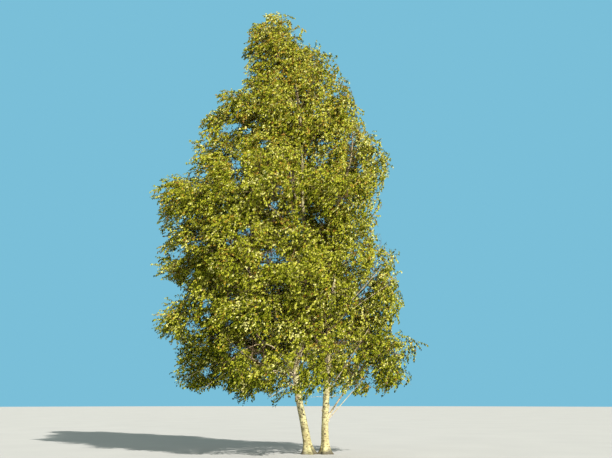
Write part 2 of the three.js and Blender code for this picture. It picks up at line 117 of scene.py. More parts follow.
BOUGH_ROOT_SHARE = 0.5  # a bough's radius at its root as a share of its stem's there
BOUGH_ROOT_MOST = 0.046
BOUGH_TIP_RADIUS = 0.026
BOUGH_SLOPE = 0.72
LOWEST_FORK = 2.16
FORK_STAGGER = 0.215
BOUGH_SHAPE = SimpleNamespace(fork=None, reach=-0.92, drop=0, arch=0.1)
LOW_BOUGH = "tier1_right_bough"
LOW_BOUGH_SHAPE = SimpleNamespace(fork=0.94, reach=-0.5, drop=0.46, arch=0.04)
AXIS_REACH = 0.6  # where a mass's own stem ends, as a share of the mass's length
AXIS_EDGE = 0.95  # how far out in the crown a mass's own stem may end
AXIS_LEAST = 0.4  # share of its length that it keeps
AXIS_FORWARD = 0.45  # how far it runs on before it bends, as a share of its length
AXIS_SUNK = 0.01  # how far it starts inside its bough's tip
AXIS_ARCH = 0.1
AXIS_BELOW_TIP = 0.25  # how far below a tree stem's tip one starts at least
TOP_FORWARD = 0.5  # as AXIS_FORWARD, at the tree's top
TOP_SUNK = 0.02
TOP_STEP = 0.06
FINE_TIP_RADIUS = 0.005
STEM_TWIG_RADIUS = 0.026
STEM_TWIG_RISE = 0.55
GOLDEN_ANGLE = math.radians(137.5)
BREEZE = np.array([-0.16, 0, 0])
FINE_BREEZE = np.array([-0.32, 0, 0.02])  # the same wind, on twigs and twiglets

# Every spread and every noise is drawn from the seed and a key of its own.
SEED = 41
KEY = SimpleNamespace(
    turn=1, reach=2, height=3, paper=5, rib=7, grain=10, plate=20, patch=30, lobe=21, foot=22,
    fringe=24, shown=31, gap=32, gap_leaf=33, way=34, airy=35, deep=36, hollow_leaf=37, kept_leaf=38,
    bough_lump=60, bough_grain=90, mark=401, scar=411, curl=421, leaf_turn=501, leaf_way=502,
    leaf_roll=512, leaf_length=522, leaf_off=524, own_tint=531, spray_tint=532, twig_tint=533, ochre=534,
)

# The crown's outline from the front, with its lobes and notches: height, and reach from the origin.
CROWN_LEFT = np.array([
    (1.7, 3.2),
    (2.07, 4.12),
    (2.56, 4.02),
    (2.95, 3.86),
    (3.31, 4.39),
    (3.82, 4.76),
    (4.18, 4.72),
    (4.51, 4.52),
    (4.94, 4.2),
    (5.31, 4.64),
    (5.81, 4.77),
    (6.37, 4.56),
    (6.91, 4.77),
    (7.29, 4.75),
    (8.06, 4.68),
    (8.45, 4.1),
    (8.61, 3.85),
    (9, 3.6),
    (9.4, 3.97),
    (9.73, 3.56),
    (10.03, 3.54),
    (10.53, 2.97),
    (10.87, 3.12),
    (11.28, 2.4),
    (11.79, 2.18),
    (12.31, 2.24),
    (12.83, 2.14),
    (13.36, 2),
    (13.78, 1.5),
    (13.98, 1.12),
])
CROWN_RIGHT = np.array([
    (1.7, 2.9),
    (2.21, 3.3),
    (3.01, 3.5),
    (3.6, 3.52),
    (4.06, 3.38),
    (4.76, 3.2),
    (5.65, 3),
    (6.31, 2.46),
    (6.56, 2.75),
    (7.13, 2.56),
    (7.83, 2.94),
    (8.35, 2.6),
    (8.81, 2.85),
    (9.2, 2.8),
    (9.9, 2.07),
    (10.47, 1.78),
    (11.07, 1.68),
    (11.65, 1.52),
    (12.17, 1.16),
    (12.76, 0.64),
    (13.32, 0.1),
    (13.82, -0.6),
    (13.98, -0.98),
])
CROWN_SWAY = 0.5  # how far the lobes lie higher or lower on the crown's front and back
CROWN_FOOT = 1.66  # height of the lowest foliage
CROWN_FOOT_RAGGED = 0.4
CROWN_FOOT_NOISE = 0.5
CROWN_EDGE_RAGGED = 0.16  # how deep the notches between lobes are, as a share of the crown's half width
CROWN_LOBE = 0.95  # the size of a lobe
CROWN_SWELL = 0.08  # how far the lobes swell past the outline
UNSEEN_RAGGED = 0.9  # how much deeper the notches get towards the crown's front and back
UNSEEN_LOBES = 0.2  # how deep the crown is cut in between its lobes at the front and back
UNSEEN_LOBE_HEIGHT = 2.7
HANG = 0.6  # how far the sprays hang for each metre that they reach outwards
CROWN_FRINGE = 0.06  # how deep the crown's edge is cut in between its sprays
FRINGE_SIZE = (0.5, 0.5, 0.28)
FRINGE_CUT = 0.4  # how much more the fringe is cut in than it stands out
SLACK = 0.42  # how far shoots may fill the room between the spaces, as a share of the spaces' size
SLACK_ASIDE = 0.2  # how much more of it to the crown's left and right
SLACK_INSIDE = 0.5  # how much more of it near the crown's middle
INSIDE_EDGE = 0.8  # how far out in the crown that starts
INSIDE_MOST = 0.6

# Gaps where the photo shows sky, on the upright plane through the origin: x, height, half width and
# half height.
SKY_GAPS = [
    (-1.1, 5.87, 0.34, 0.26),
    (-1.44, 5.55, 0.12, 0.1),
    (-1.39, 9.5, 0.13, 0.15),
    (-2.29, 8.77, 0.15, 0.22),
    (-0.87, 7.93, 0.13, 0.16),
    (-1.08, 7.45, 0.12, 0.12),
    (-2.45, 10.02, 0.3, 0.15),
    (-1.92, 9.92, 0.18, 0.1),
    (-4, 6, 0.24, 0.18),
    (-3.55, 6.32, 0.16, 0.13),
    (-2.36, 6.32, 0.18, 0.1),
    (-1.95, 6.6, 0.2, 0.14),
    (-3.58, 5.25, 0.12, 0.2),
    (-3.8, 4.82, 0.16, 0.17),
    (-3.1, 4.4, 0.2, 0.13),
    (-3.08, 4.1, 0.17, 0.15),
    (-3.55, 3.7, 0.16, 0.2),
    (-3.25, 3.64, 0.12, 0.14),
    (-2.4, 3.85, 0.18, 0.12),
    (-2.3, 3.02, 0.17, 0.22),
    (-3.05, 2.4, 0.16, 0.14),
    (-1.74, 2.45, 0.11, 0.16),
    (-1.48, 2.8, 0.08, 0.11),
    (-1.28, 2.2, 0.17, 0.12),
    (-0.92, 2.15, 0.15, 0.12),
    (-0.05, 2.62, 0.1, 0.14),
    (0.1, 2.3, 0.08, 0.1),
    (1.85, 2.1, 0.16, 0.14),
    (1.14, 4.04, 0.13, 0.12),
    (1.62, 4.66, 0.15, 0.15),
    (1.78, 4.92, 0.18, 0.2),
    (2, 5.28, 0.19, 0.22),
    (2.18, 5.68, 0.17, 0.24),
    (2.18, 6.25, 0.11, 0.2),
    (2.2, 6.7, 0.1, 0.2),
    (0.92, 11.1, 0.14, 0.13),
    (1.62, 8.68, 0.11, 0.16),
    (0.38, 7.04, 0.14, 0.16),
]
GAP_RAGGED = 0.7
GAP_NOISE = (0.12, 0.1, 0.1)
GAP_LEAVES = 0.24  # share of a gap's leaves that stay

# Dark hollows in the crown's front, placed and sized as the gaps are.
HOLLOWS = [
    (-2.41, 9.1, 0.17, 0.33),
    (-2.16, 8.51, 0.18, 0.36),
    (-0.99, 7.61, 0.28, 0.48),
    (1.37, 9.21, 0.15, 0.79),
    (0.25, 7.1, 0.28, 0.34),
    (-3.39, 6.46, 0.33, 0.22),
    (-3.93, 5.99, 0.46, 0.19),
    (-4.08, 5.1, 0.32, 0.52),
    (-3.71, 4.76, 0.21, 0.24),
    (-1.51, 3.13, 0.43, 0.45),
    (-2.89, 2.36, 0.59, 0.44),
    (-0.91, 4.89, 0.39, 0.2),
    (1.18, 5.46, 0.2, 0.34),
    (0.42, 6.62, 0.24, 0.3),
    (-1.27, 12.43, 0.34, 0.17),
    (-1.84, 10.2, 0.2, 0.4),
    (-2.38, 10.03, 0.28, 0.2),
    (-0.09, 4.94, 0.18, 0.18),
    (-0.69, 3.13, 0.18, 0.18),
    (-2.31, 4.66, 0.21, 0.15),
    (-2.85, 3.4, 0.24, 0.21),
]
HOLLOW_DEPTH = 1.0  # how far a hollow reaches in from the crown's front
HOLLOW_LEAVES = 0.35

# Stretches of the stems, by height, that show through the foliage in front of them.
STEM_SHOWS = [
    (LEFT_STEM, 2.2, 3.05),
    (LEFT_STEM, 7.3, 7.9),
    (LEFT_STEM, 8.4, 9.15),
    (LEFT_STEM, 10.1, 10.4),
    (LEFT_STEM, 10.9, 11.4),
    (RIGHT_STEM, 2.4, 2.85),
    (RIGHT_STEM, 4.75, 5.3),
    (RIGHT_STEM, 8.5, 9.1),
    (RIGHT_STEM, 9.3, 9.75),
]
# Stretches that only the sun reaches, below the crown.
STEM_LIT = [(LEFT_STEM, 0.1, 1.95), (RIGHT_STEM, 0.1, 1.8)]
STEM_LIT_WIDTH = 0.13
STEM_SHOW_WIDTH = 0.072
SHOOT_SHOW_WIDTH = 0.055
SHOW_RAGGED = 0.6
SHOW_NOISE = 0.14
SHOW_SPREAD = 0.4  # how much these widths differ from leaf to leaf
SHOW_STEP = 0.03
SHOW_LEAVES = 0.12  # share of the leaves before a limb that stay
LIGHT_SHARE = 1.5  # how wide the way for the sun's light is, as a share of the way for the camera

# Thin pale shoots that the photo shows below and before the crown, their pale bark painted light: stem,
# height of the root there, bend, end, radius and the share of its length where it starts and stops
# showing.
FRONT_SHOOTS = [
    (LEFT_STEM, 2.14, (-0.8, -0.45, 2.7), (-1.35, -1, 4), 0.024, 0, 0.5),
    (LEFT_STEM, 2.38, (-0.3, -0.12, 2.62), (-0.14, -0.3, 3.15), 0.026, 0, 1),
    (LEFT_STEM, 2.02, (-0.8, -0.3, 2.5), (-1.25, -0.55, 2.35), 0.012, 0, 0.8),
    (LEFT_STEM, 2.04, (-0.72, -0.2, 1.93), (-1.18, -0.45, 1.58), 0.011, 0, 1),
    (LEFT_STEM, 1.86, (-1.2, -0.5, 2.55), (-2.3, -0.95, 3.05), 0.017, 0.55, 0.85),
    (LEFT_STEM, 3.45, (-1.15, -0.6, 4.7), (-2.7, -1.3, 6.15), 0.024, 0.62, 0.85),
    (LEFT_STEM, 6.9, (-0.55, -0.3, 7.8), (-0.72, -0.5, 9.6), 0.02, 0.35, 0.65),
    (RIGHT_STEM, 1.75, (0.95, -0.3, 2.3), (1.75, -0.85, 3.6), 0.02, 0.3, 0.85),
    (RIGHT_STEM, 0.88, (1.04, -0.2, 1.52), (1.66, -0.45, 2.22), 0.017, 0, 1),
    (RIGHT_STEM, 1.62, (0.8, -0.1, 1.66), (1.02, -0.2, 1.62), 0.007, 0, 1),
    (RIGHT_STEM, 1.6, (0.25, -0.05, 1.68), (0.02, -0.12, 1.6), 0.007, 0, 1),
    (RIGHT_STEM, 3.85, (1.4, -0.5, 4.55), (2.45, -0.95, 5.75), 0.018, 0.5, 0.75),
    (RIGHT_STEM, 3.7, (1.4, -0.4, 4.32), (2.4, -0.6, 4.92), 0.018, 0.5, 1),
    (LEFT_STEM, 2.3, (-2.0, -0.5, 3.3), (-3.9, -0.6, 1.95), 0.014, 0, 0),
    (LEFT_STEM, 2.3, (-1.9, -0.9, 3.0), (-3.1, -1.0, 1.75), 0.014, 0, 0),
    (LEFT_STEM, 2.5, (-1.6, 0.6, 3.2), (-3.4, 0.8, 1.85), 0.014, 0, 0),
    (RIGHT_STEM, 2.3, (1.7, -0.6, 3.0), (3.0, -0.6, 1.95), 0.014, 0, 0),
    (RIGHT_STEM, 2.6, (1.5, 0.5, 3.1), (2.6, 0.7, 1.8), 0.014, 0, 0),
    (RIGHT_STEM, 3.2, (1.9, 0.3, 4.4), (2.75, 0.4, 4.5), 0.014, 0, 0),
    (RIGHT_STEM, 3.6, (1.8, -0.5, 5.0), (2.6, -0.7, 5.1), 0.014, 0, 0),
]

# Side shoots, level by level. Spacing is between shoots on their carrier, start is the share of the
# carrier that stays bare, or a height on a stem, and a length is cut where a shoot would leave the
# crown.
BRANCHLETS = SimpleNamespace(
    key=101, spacing=0.1, least_count=10, most_count=16, start=0.06, spread=0.4, forward=0.45, droop=-0.2,
    sag=0.25, longest=1.6, taper=0.25, length_spread=0.2, shortest=0.22, edge=0.93, thick=0.012,
    thin=0.0045, sides=5, steps=5,
)
STEM_SHOOTS = SimpleNamespace(
    key=151, spacing=0.13, start=2.55, spread=0.5, forward=0.5, droop=-0.15, sag=0.35, longest=1.9,
    taper=0.15, length_spread=0.3, shortest=0.25, edge=0.93, thick=0.012, thin=0.0045,
)
BOUGH_SHOOTS = SimpleNamespace(
    key=171, spacing=0.2, least_count=2, start=0.35, end=0.95, spread=0.5, forward=0.5, droop=-0.1,
    sag=0.35, longest=1.1, taper=0.3, length_spread=0.3, shortest=0.2, edge=0.93, thick=0.009,
    thin=0.004,
)
TWIGS = SimpleNamespace(
    key=201, spacing=0.105, least_count=3, most_count=12, start=0.2, spread=0.6, forward=0.6, droop=0.1,
    sag=0.5, longest=0.64, taper=0.45, length_spread=0.3, shortest=0.12, edge=0.97, thick=0.0045,
    thin=0.0022, sides=3, steps=2,
)
TWIGLETS = SimpleNamespace(
    key=301, spacing=0.078, least_count=2, most_count=7, start=0.12, spread=1.2, forward=0.6, droop=0.45,
    sag=0.2, longest=0.4, taper=0.25, length_spread=0.45, shortest=0.06, edge=1.0, thick=0.0022,
    thin=0.001, sides=3, steps=1,
)
SHOOT_OFFSET = 0.35  # where in its room on the carrier a side shoot stands
PLACED_BY = 0.6  # where along a shoot its place in the crown is read
STEM_TIP_BARE = 0.1
TANGENT_STEP = 0.05
PALE_TAPER = 0.35  # a pale shoot's radius at its tip as a share of that at its root
FIT_STEPS = 8  # places along a shoot where its space is tested
TWIG_ROOT_SHARE = 0.6
LIMB_GAP = 0.03
STEM_PLACES = 200  # on each stem, and on each bough, where its distance is tested
BOUGH_PLACES = 50

# A band is where a change starts and over how far it grows to the full, in height or to one side.
TOP_BAND = (8, 4)
AIRY_SIZE = (0.7, 0.7, 0.32)
AIRY_LEVEL = 0.58  # noise above this leaves a pocket of air in the foliage
AIRY_LEFT = 0.07  # how much lower that level gets at the crown's low left
AIRY_LEFT_BAND = (-1.2, -2)
AIRY_LOW_BAND = (7.5, -3)
AIRY_TOP = 0.2  # how much higher it gets near the crown's top
AIRY_DEPTH = 0.5  # how far out in the crown the pockets start
DEEP = 0.6  # how far out in the crown no light falls
DEEP_RISE = 0.8  # how far above and below a place it has to be as deep
DEEP_SHARE = 0.33  # share of the twiglets that stay there

LEAF_SPACING = 0.0222
LEAST_LEAVES = 3  # on a twiglet
MOST_LEAVES = 26
TOP_CLOSER = 0.3  # how much closer leaves stand where the crown is thin, near its top
LEAVES_PER_SPRAY = 2
LEAF_OFF = 0.018  # how far a leaf's stalk holds it off its twig
LEAF_LENGTH = 0.065
LEAF_LENGTH_SPREAD = 0.25
LEAF_HALF_WIDTH = 0.35  # of its length
LEAF_OUTLINE = [(0, 0), (0.42, 1), (1, 0), (0.42, -1)]
LEAF_FACES = np.array([(0, 1, 2), (0, 2, 3)])
LEAF_TIP_DROP = 0.2
LEAF_FOLD = 0.12  # how far a leaf's sides stand up from its midrib
LEAF_TURN_SPREAD = 0.7
LEAF_FORWARD = 0.45
LEAF_ASIDE = 0.6
END_ASIDE = 0.3  # the same for the leaf at a twiglet's end, as a share of it
LEAF_DROOP = 0.5
LEAF_BREEZE = np.array([-0.35, 0, 0])
LEAF_SPREAD = 0.38
LEAF_ROLL = 1.3
OWN_TINT = 0.68  # share of the sprays that draw a tint of their own and not their twig's
PAINTED_LIGHT_LIFT = 0.3  # how much more often sprays are light at the top of the crown, as painted light, and dark at its foot, as painted shade
PAINTED_LIGHT_BAND = (4, 7)
LIFT_LEAST = -0.4

# Leaf tints as linear base colours, with how many sprays in a hundred have each.
LEAF_TINTS = [
    ("leaf_deep_green", (0.02, 0.034, 0.001), 9),
    ("leaf_dark_green", (0.06, 0.078, 0.002), 12),
    ("leaf_mid_green", (0.132, 0.158, 0.005), 16),
    ("leaf_rust", (0.2, 0.11, 0.02), 2),
    ("leaf_olive", (0.235, 0.255, 0.014), 20),
    ("leaf_ochre", (0.34, 0.23, 0.03), 3),
    ("leaf_bright_olive", (0.33, 0.345, 0.03), 19),
    ("leaf_yellow_green", (0.44, 0.44, 0.08), 13),
    ("leaf_pale_yellow", (0.58, 0.57, 0.22), 6),
]

OCHRE = [name for name, *_ in LEAF_TINTS].index("leaf_ochre")
TOP_OCHRE = 0.12  # share of the sprays at the very top that have turned to ochre
OCHRE_BAND = (6, 6)
LOW_LEFT_PAINTED_SHADE = 0.95  # how much more often sprays are dark at the crown's low left, as painted shade
LOW_RIGHT_PAINTED_SHADE = 0.6  # and at its low right, as painted shade too
PAINTED_SHADE_SIDE_BAND = (0.8, 1.5)
PAINTED_SHADE_LOW_BAND = (4.4, -2)

# The camera, as it stood for the photo.
EYE = Vector((-0.0876, -24.215, 1.6))
PITCH = 11.928
FRAME_WIDTH = 612
FOCAL_PIXELS = 800
SENSOR_WIDTH = 36.0

SUN_ELEVATION = math.radians(35)
SUN_SIDE = math.radians(34)  # to the viewer's right
TO_SUN = np.array([
    math.cos(SUN_ELEVATION) * math.sin(SUN_SIDE),
    -math.cos(SUN_ELEVATION) * math.cos(SUN_SIDE),
    math.sin(SUN_ELEVATION),
])

UP = np.array([0.0, 0.0, 1.0])
MASK = np.uint64(0xFFFFFFFF)


# Chance and noise

def chance(*keys):
    """Numbers from 0 to 1 that depend only on the seed and the keys, as for the solids."""
    h = np.uint64(SEED)
    for key in keys:
        key = np.asarray(key).astype(np.uint64)
        h = ((h ^ (key + np.uint64(1))) * np.uint64(0x9E3779B1)) & MASK
        h = h ^ (h >> np.uint64(15))
    h = (h * np.uint64(0x85EBCA6B)) & MASK
    return (h ^ (h >> np.uint64(13))) / 2.0**32


def either(spread, *keys):
    return spread * (2 * chance(*keys) - 1)


def scattered(spread, number, key):
    """A small vector for each number."""
    return np.stack([either(spread, number, key + axis) for axis in range(3)], axis=-1)


def share_in(value, band, least=0):
    """How far values have come through a band: 0 before it, and 1 from its end on."""
    start, span = band
    return np.clip((value - start) / span, least, 1)


def rough(points, size, key):
    """Smooth noise from -1 to 1 whose bumps have about the size given, along each axis."""
    cell = points / np.asarray(size) + 4096.0
    base = np.floor(cell)
    share = cell - base
    share = share * share * (3 - 2 * share)
    total = 0
    for corner in np.ndindex(2, 2, 2):
        weight = np.prod(np.where(corner, share, 1 - share), axis=-1)
        total = total + weight * chance(*np.moveaxis(base + corner, -1, 0), key)
    return 2 * total - 1


# Vectors

def unit(vectors):
    return vectors / np.maximum(np.linalg.norm(vectors, axis=-1, keepdims=True), 1e-9)


def axes_across(ways):
    """Two axes across each way."""
    beside = np.cross(UP, ways)
    upright = np.linalg.norm(beside, axis=-1, keepdims=True) < 0.05
    beside = unit(np.where(upright, (1.0, 0.0, 0.0), beside))
    return beside, unit(np.cross(beside, ways))


# Stems

def stem_middle(stem, height):
    """Points in the middle of a stem, on a smooth curve through its line."""
    line = stem.line
    last = len(line) - 1
    before = line[np.maximum(np.arange(last + 1) - 1, 0)]
    after = line[np.minimum(np.arange(last + 1) + 1, last)]
    slopes = (after[:, 1:] - before[:, 1:]) / (after[:, :1] - before[:, :1])
    height = np.asarray(height, float)
    row = np.searchsorted(line[1:-1, 0], height)
    span = (line[row + 1, 0] - line[row, 0])[..., None]
    t = (height - line[row, 0])[..., None] / span
    across = (
        (1 + 2 * t) * (1 - t) ** 2 * line[row, 1:]
        + t * (1 - t) ** 2 * span * slopes[row]
        + t * t * (3 - 2 * t) * line[row + 1, 1:]
        + t * t * (t - 1) * span * slopes[row + 1]
    )
    return np.concatenate([across, height[..., None]], axis=-1)


def stem_top(stem):
    return stem.line[-1, 0]


def stem_radius(stem, height):
    left = np.maximum(1 - height / stem_top(stem), 0)
    return stem.tip_radius + (stem.foot_radius - stem.tip_radius) * left**STEM_TAPER


def stem_on(outward):
    return RIGHT_STEM if outward[0] > RIGHT_SIDE else LEFT_STEM


# Spaces for the masses of foliage

def tier_mass(row, k):
    height, left, right, count, turn, tilt, half, on_bough = TIERS[row]
    middle_x = (right - left) / 2
    degrees = 180 + turn + 360 * k / count + either(TURN_SPREAD, row, k, KEY.turn)
    angle = math.radians(degrees)
    outward = np.array([math.cos(angle), math.sin(angle), 0])
    flank = np.array([-outward[1], outward[0], 0])
    edge = (right + left) / 2 / math.hypot(outward[0], outward[1] / DEPTH_SHARE)
    outer = edge * (1 + either(REACH_SPREAD, row, k, KEY.reach))
    offset = stem_middle(stem_on(outward), height) - (middle_x, 0, 0)
    clear = offset @ outward + STEM_CLEAR if on_bough else 0
    inner = max(INNER_SHARE * edge, clear)
    away = (outer + inner) / 2
    along = outward * math.cos(math.radians(tilt)) + UP * math.sin(math.radians(tilt))
    middle = np.array([middle_x, 0, height + either(HEIGHT_SPREAD, row, k, KEY.height)])
    half_flank = min(away * math.sin(math.pi / count) * CROWD, WIDEST_SPACE)
    side = SIDE_WORDS[round((degrees % 360) / 45) % len(SIDE_WORDS)]
    return SimpleNamespace(
        place=f"tier{row + 1}_{side}",
        group=f"tier{row + 1}",
        on_bough=on_bough,
        top=None,
        turn_in_tier=k,
        outward=outward,
        middle=middle + outward * away,
        axes=np.array([along, flank, np.cross(along, flank)]),
        radii=np.array([(outer - inner) / 2 / math.cos(math.radians(tilt)), half_flank, half]),
    )


def top_mass(place, middle, radii, head, fork, sweep):
    return SimpleNamespace(
        place=place,
        group="top",
        on_bough=False,
        top=SimpleNamespace(head=head, fork=fork, sweep=sweep),
        middle=np.array(middle),
        axes=np.eye(3),
        radii=np.array(radii),
    )


MASSES = [tier_mass(row, k) for row, tier in enumerate(TIERS) for k in range(tier[3])]
MASSES += [top_mass(*top) for top in TOP_MASSES]
SPACES = SimpleNamespace(
    middle=np.array([mass.middle for mass in MASSES]),
    axes=np.array([mass.axes for mass in MASSES]),
    radii=np.array([mass.radii for mass in MASSES]),
)


def depths_in(points):
    """How far out each point lies in every space: 0 at its middle and 1 at its edge."""
    away = points[:, None, :] - SPACES.middle
    parts = np.abs(np.einsum("nsk,sak->nsa", away, SPACES.axes) / SPACES.radii) ** FULLNESS
    return parts.sum(-1) ** (1 / FULLNESS)


def hung(points):
    """The points in a frame where the sprays, which hang as they reach outwards, lie level."""
    return points + UP * (HANG * np.hypot(points[:, 0], points[:, 1]))[:, None]


def depth_in_crown(points):
    """How far out each point lies in the whole crown: 1 at its outline, and 2 for all above or below."""
    turn = np.arctan2(points[:, 1] / DEPTH_SHARE, points[:, 0])
    unseen = np.sin(turn) ** 2
    height = points[:, 2] + CROWN_SWAY * unseen * np.sin(3 * turn + 1)
    left = np.interp(height, *CROWN_LEFT.T)
    right = np.interp(height, *CROWN_RIGHT.T)
    away = np.hypot(points[:, 0] - (right - left) / 2, points[:, 1] / DEPTH_SHARE)
    lobes = 0.5 + 0.5 * rough(points, CROWN_LOBE, KEY.lobe)
    wave = 0.5 + 0.5 * np.sin(2 * math.pi * height / UNSEEN_LOBE_HEIGHT + turn)
    fringe = FRINGE_CUT + rough(hung(points), FRINGE_SIZE, KEY.fringe)
    notch = CROWN_EDGE_RAGGED * (1 + UNSEEN_RAGGED * unseen) * lobes - CROWN_SWELL
    notch = notch + UNSEEN_LOBES * unseen * wave + CROWN_FRINGE * fringe
    foot = CROWN_FOOT + CROWN_FOOT_RAGGED * rough(points * (1, 1, 0), CROWN_FOOT_NOISE, KEY.foot)
    outside = (points[:, 2] < foot) | (height > CROWN_LEFT[-1, 0])
    return np.where(outside, 2, away / (right + left) * 2 + notch)


def in_crown(points, edge):
    depth = depth_in_crown(points)
    aside = points[:, 0] ** 2 / np.maximum((points[:, :2] ** 2).sum(1), 1e-9)
    slack = SLACK + SLACK_ASIDE * aside + SLACK_INSIDE * np.clip(INSIDE_EDGE - depth, 0, INSIDE_MOST)
    return (depth < edge) & (depths_in(points).min(1) < 1 + slack)


# Shoots. A shoot's point at t, from 0 to 1, is root + way t + sag t t / 2.

def bezier_shoot(root, bend, end, thick, thin, number):
    root, bend, end = (np.asarray(point, float) for point in (root, bend, end))
    return SimpleNamespace(
        root=root, way=2 * (bend - root), sag=2 * (end - 2 * bend + root), thick=thick, thin=thin,
        mass=number, turn=float(number), number=number,
    )


def stacked(shoots):
    return SimpleNamespace(**{
        name: np.array([vars(shoot)[name] for shoot in shoots]) for name in vars(shoots[0])
    })


def together(*several):
    return SimpleNamespace(**{
        name: np.concatenate([vars(shoots)[name] for shoots in several]) for name in vars(several[0])
    })


def picked(shoots, which):
    return SimpleNamespace(**{name: values[which] for name, values in vars(shoots).items()})


def points_on(shoots, t):
    """Points at t, which has one row for each shoot, or one for all."""
    t = np.broadcast_to(t, (len(shoots.root), np.shape(t)[-1]))[..., None]
    return shoots.root[:, None] + shoots.way[:, None] * t + shoots.sag[:, None] * t * t / 2


def ways_on(shoots, t):
    t = np.broadcast_to(t, (len(shoots.root), np.shape(t)[-1]))[..., None]
    return unit(shoots.way[:, None] + shoots.sag[:, None] * t)


def spots_on(shoots, t):
    """One point and way on each shoot, at a t of its own or at one for all."""
    t = np.broadcast_to(t, len(shoots.root))[:, None]
    return points_on(shoots, t)[:, 0], ways_on(shoots, t)[:, 0]


def along_one(shoot, t):
    """Points and ways along a single shoot."""
    one = SimpleNamespace(root=shoot.root[None], way=shoot.way[None], sag=shoot.sag[None])
    return points_on(one, t)[0], ways_on(one, t)[0]


def radius_at(shoot, t):
    return shoot.thick + (shoot.thin - shoot.thick) * t


def lengths_of(shoots):
    places = points_on(shoots, np.linspace(0, 1, 5))
    return np.linalg.norm(np.diff(places, axis=1), axis=-1).sum(1)


def bough_of(mass, number):
    name = f"{mass.place}_bough"
    shape = LOW_BOUGH_SHAPE if name == LOW_BOUGH else BOUGH_SHAPE
    stem = stem_on(mass.outward)
    tip = mass.middle + mass.axes[0] * shape.reach * mass.radii[0] - UP * shape.drop
    near = stem_middle(stem, tip[2])
    run = math.hypot(tip[0] - near[0], tip[1] - near[1])
    stagger = (mass.turn_in_tier % 3 - 1) * FORK_STAGGER
    fork = shape.fork or max(tip[2] - BOUGH_SLOPE * run, LOWEST_FORK) + stagger
    root = stem_middle(stem, fork)
    bend = (root + tip) / 2 + UP * shape.arch * np.linalg.norm(tip - root)
    thick = min(BOUGH_ROOT_SHARE * stem_radius(stem, fork), BOUGH_ROOT_MOST)
    bough = bezier_shoot(root, bend, tip, thick, BOUGH_TIP_RADIUS, number)
    bough.stem = stem
    bough.name = name
    return bough


def top_axis(mass, number):
    """The own stem of a mass at the top: on from the left stem's tip, or out of that stem."""
    end = mass.middle + UP * mass.top.head * mass.radii[2]
    tip_height = stem_top(LEFT_STEM)
    if mass.top.fork:
        root = stem_middle(LEFT_STEM, tip_height * mass.top.fork)
        bend = mass.middle + UP * mass.top.sweep * mass.radii[2]
        return bezier_shoot(root, bend, end, TOP_STEM_RADIUS, FINE_TIP_RADIUS, number)
    start = stem_middle(LEFT_STEM, tip_height - TOP_SUNK)
    way = unit(stem_middle(LEFT_STEM, tip_height) - stem_middle(LEFT_STEM, tip_height - TOP_STEP))
    bend = start + way * TOP_FORWARD * np.linalg.norm(end - start)
    return bezier_shoot(start, bend, end, LEFT_STEM.tip_radius, FINE_TIP_RADIUS, number)


def axis_of(mass, number, bough):
    """A mass's own stem: on from its bough's tip, out of a tree stem, or at the top."""
    if mass.top:
        return top_axis(mass, number)
    end = mass.middle + mass.axes[0] * AXIS_REACH * mass.radii[0]
    if bough:
        start = bough.root + bough.way + bough.sag / 2
        way = unit(bough.way + bough.sag)
        bend = start + way * AXIS_FORWARD * np.linalg.norm(end - start)
        return bezier_shoot(start - way * AXIS_SUNK, bend, end, BOUGH_TIP_RADIUS, FINE_TIP_RADIUS, number)
    stem = stem_on(mass.outward)
    run = math.hypot(mass.middle[0], mass.middle[1])
    fork = min(mass.middle[2] - STEM_TWIG_RISE * run, stem_top(stem) - AXIS_BELOW_TIP)
    root = stem_middle(stem, fork)
    bend = (root + end) / 2 + UP * AXIS_ARCH * run
    return bezier_shoot(root, bend, end, STEM_TWIG_RADIUS, FINE_TIP_RADIUS, number)


BOUGHS = {number: bough_of(mass, number) for number, mass in enumerate(MASSES) if mass.on_bough}
AXES = stacked([axis_of(mass, number, BOUGHS.get(number)) for number, mass in enumerate(MASSES)])


def search_tree(places):
    tree = kdtree.KDTree(len(places))
    for i, place in enumerate(places):
        tree.insert(place, i)
    tree.balance()
    return tree


def nearest_in(tree, places):
    """Which of the tree's places is nearest to each place, and how far away it is."""
    found = [tree.find(place) for place in places]
    return np.array([index for _, index, _ in found], int), np.array([away for _, _, away in found])


def limb_places():
    """Places on the stems and boughs, with the radius there."""
    places, radii = [], []
    for stem in STEMS:
        heights = np.linspace(0, stem_top(stem), STEM_PLACES)
        places.append(stem_middle(stem, heights))
        radii.append(stem_radius(stem, heights))
    for bough in BOUGHS.values():
        t = np.linspace(0, 1, BOUGH_PLACES)
        places.append(along_one(bough, t)[0])
        radii.append(radius_at(bough, t))
    return np.concatenate(places), np.concatenate(radii)


LIMB_PLACES, LIMB_RADII = limb_places()
LIMB_TREE = search_tree(LIMB_PLACES)


def clear_of_limbs(points):
    nearest, distance = nearest_in(LIMB_TREE, points)
    return distance > LIMB_RADII[nearest] + LIMB_GAP


def cut_to_crown(shoots, edge, least=0.0):
    """The shoots cut where they would leave the crown, but to no less than a share of their length."""
    t = np.arange(1, FIT_STEPS + 1) / FIT_STEPS
    places = points_on(shoots, t).reshape(-1, 3)
    inside = in_crown(places, edge).reshape(-1, FIT_STEPS)
    reach = np.maximum(np.logical_and.accumulate(inside, axis=1).sum(1) / FIT_STEPS, least)
    shoots.way = shoots.way * reach[:, None]
    shoots.sag = shoots.sag * reach[:, None] ** 2
    return shoots


AXES = cut_to_crown(AXES, AXIS_EDGE, AXIS_LEAST)


def fitted(shoots, rule):
    """The shoots cut to the crown, without those too short or on a limb."""
    shoots = cut_to_crown(shoots, rule.edge)
    shoots = picked(shoots, lengths_of(shoots) >= rule.shortest)
    tested = points_on(shoots, np.array([PLACED_BY, 1.0]))
    return picked(shoots, clear_of_limbs(tested.reshape(-1, 3)).reshape(-1, 2).all(1))


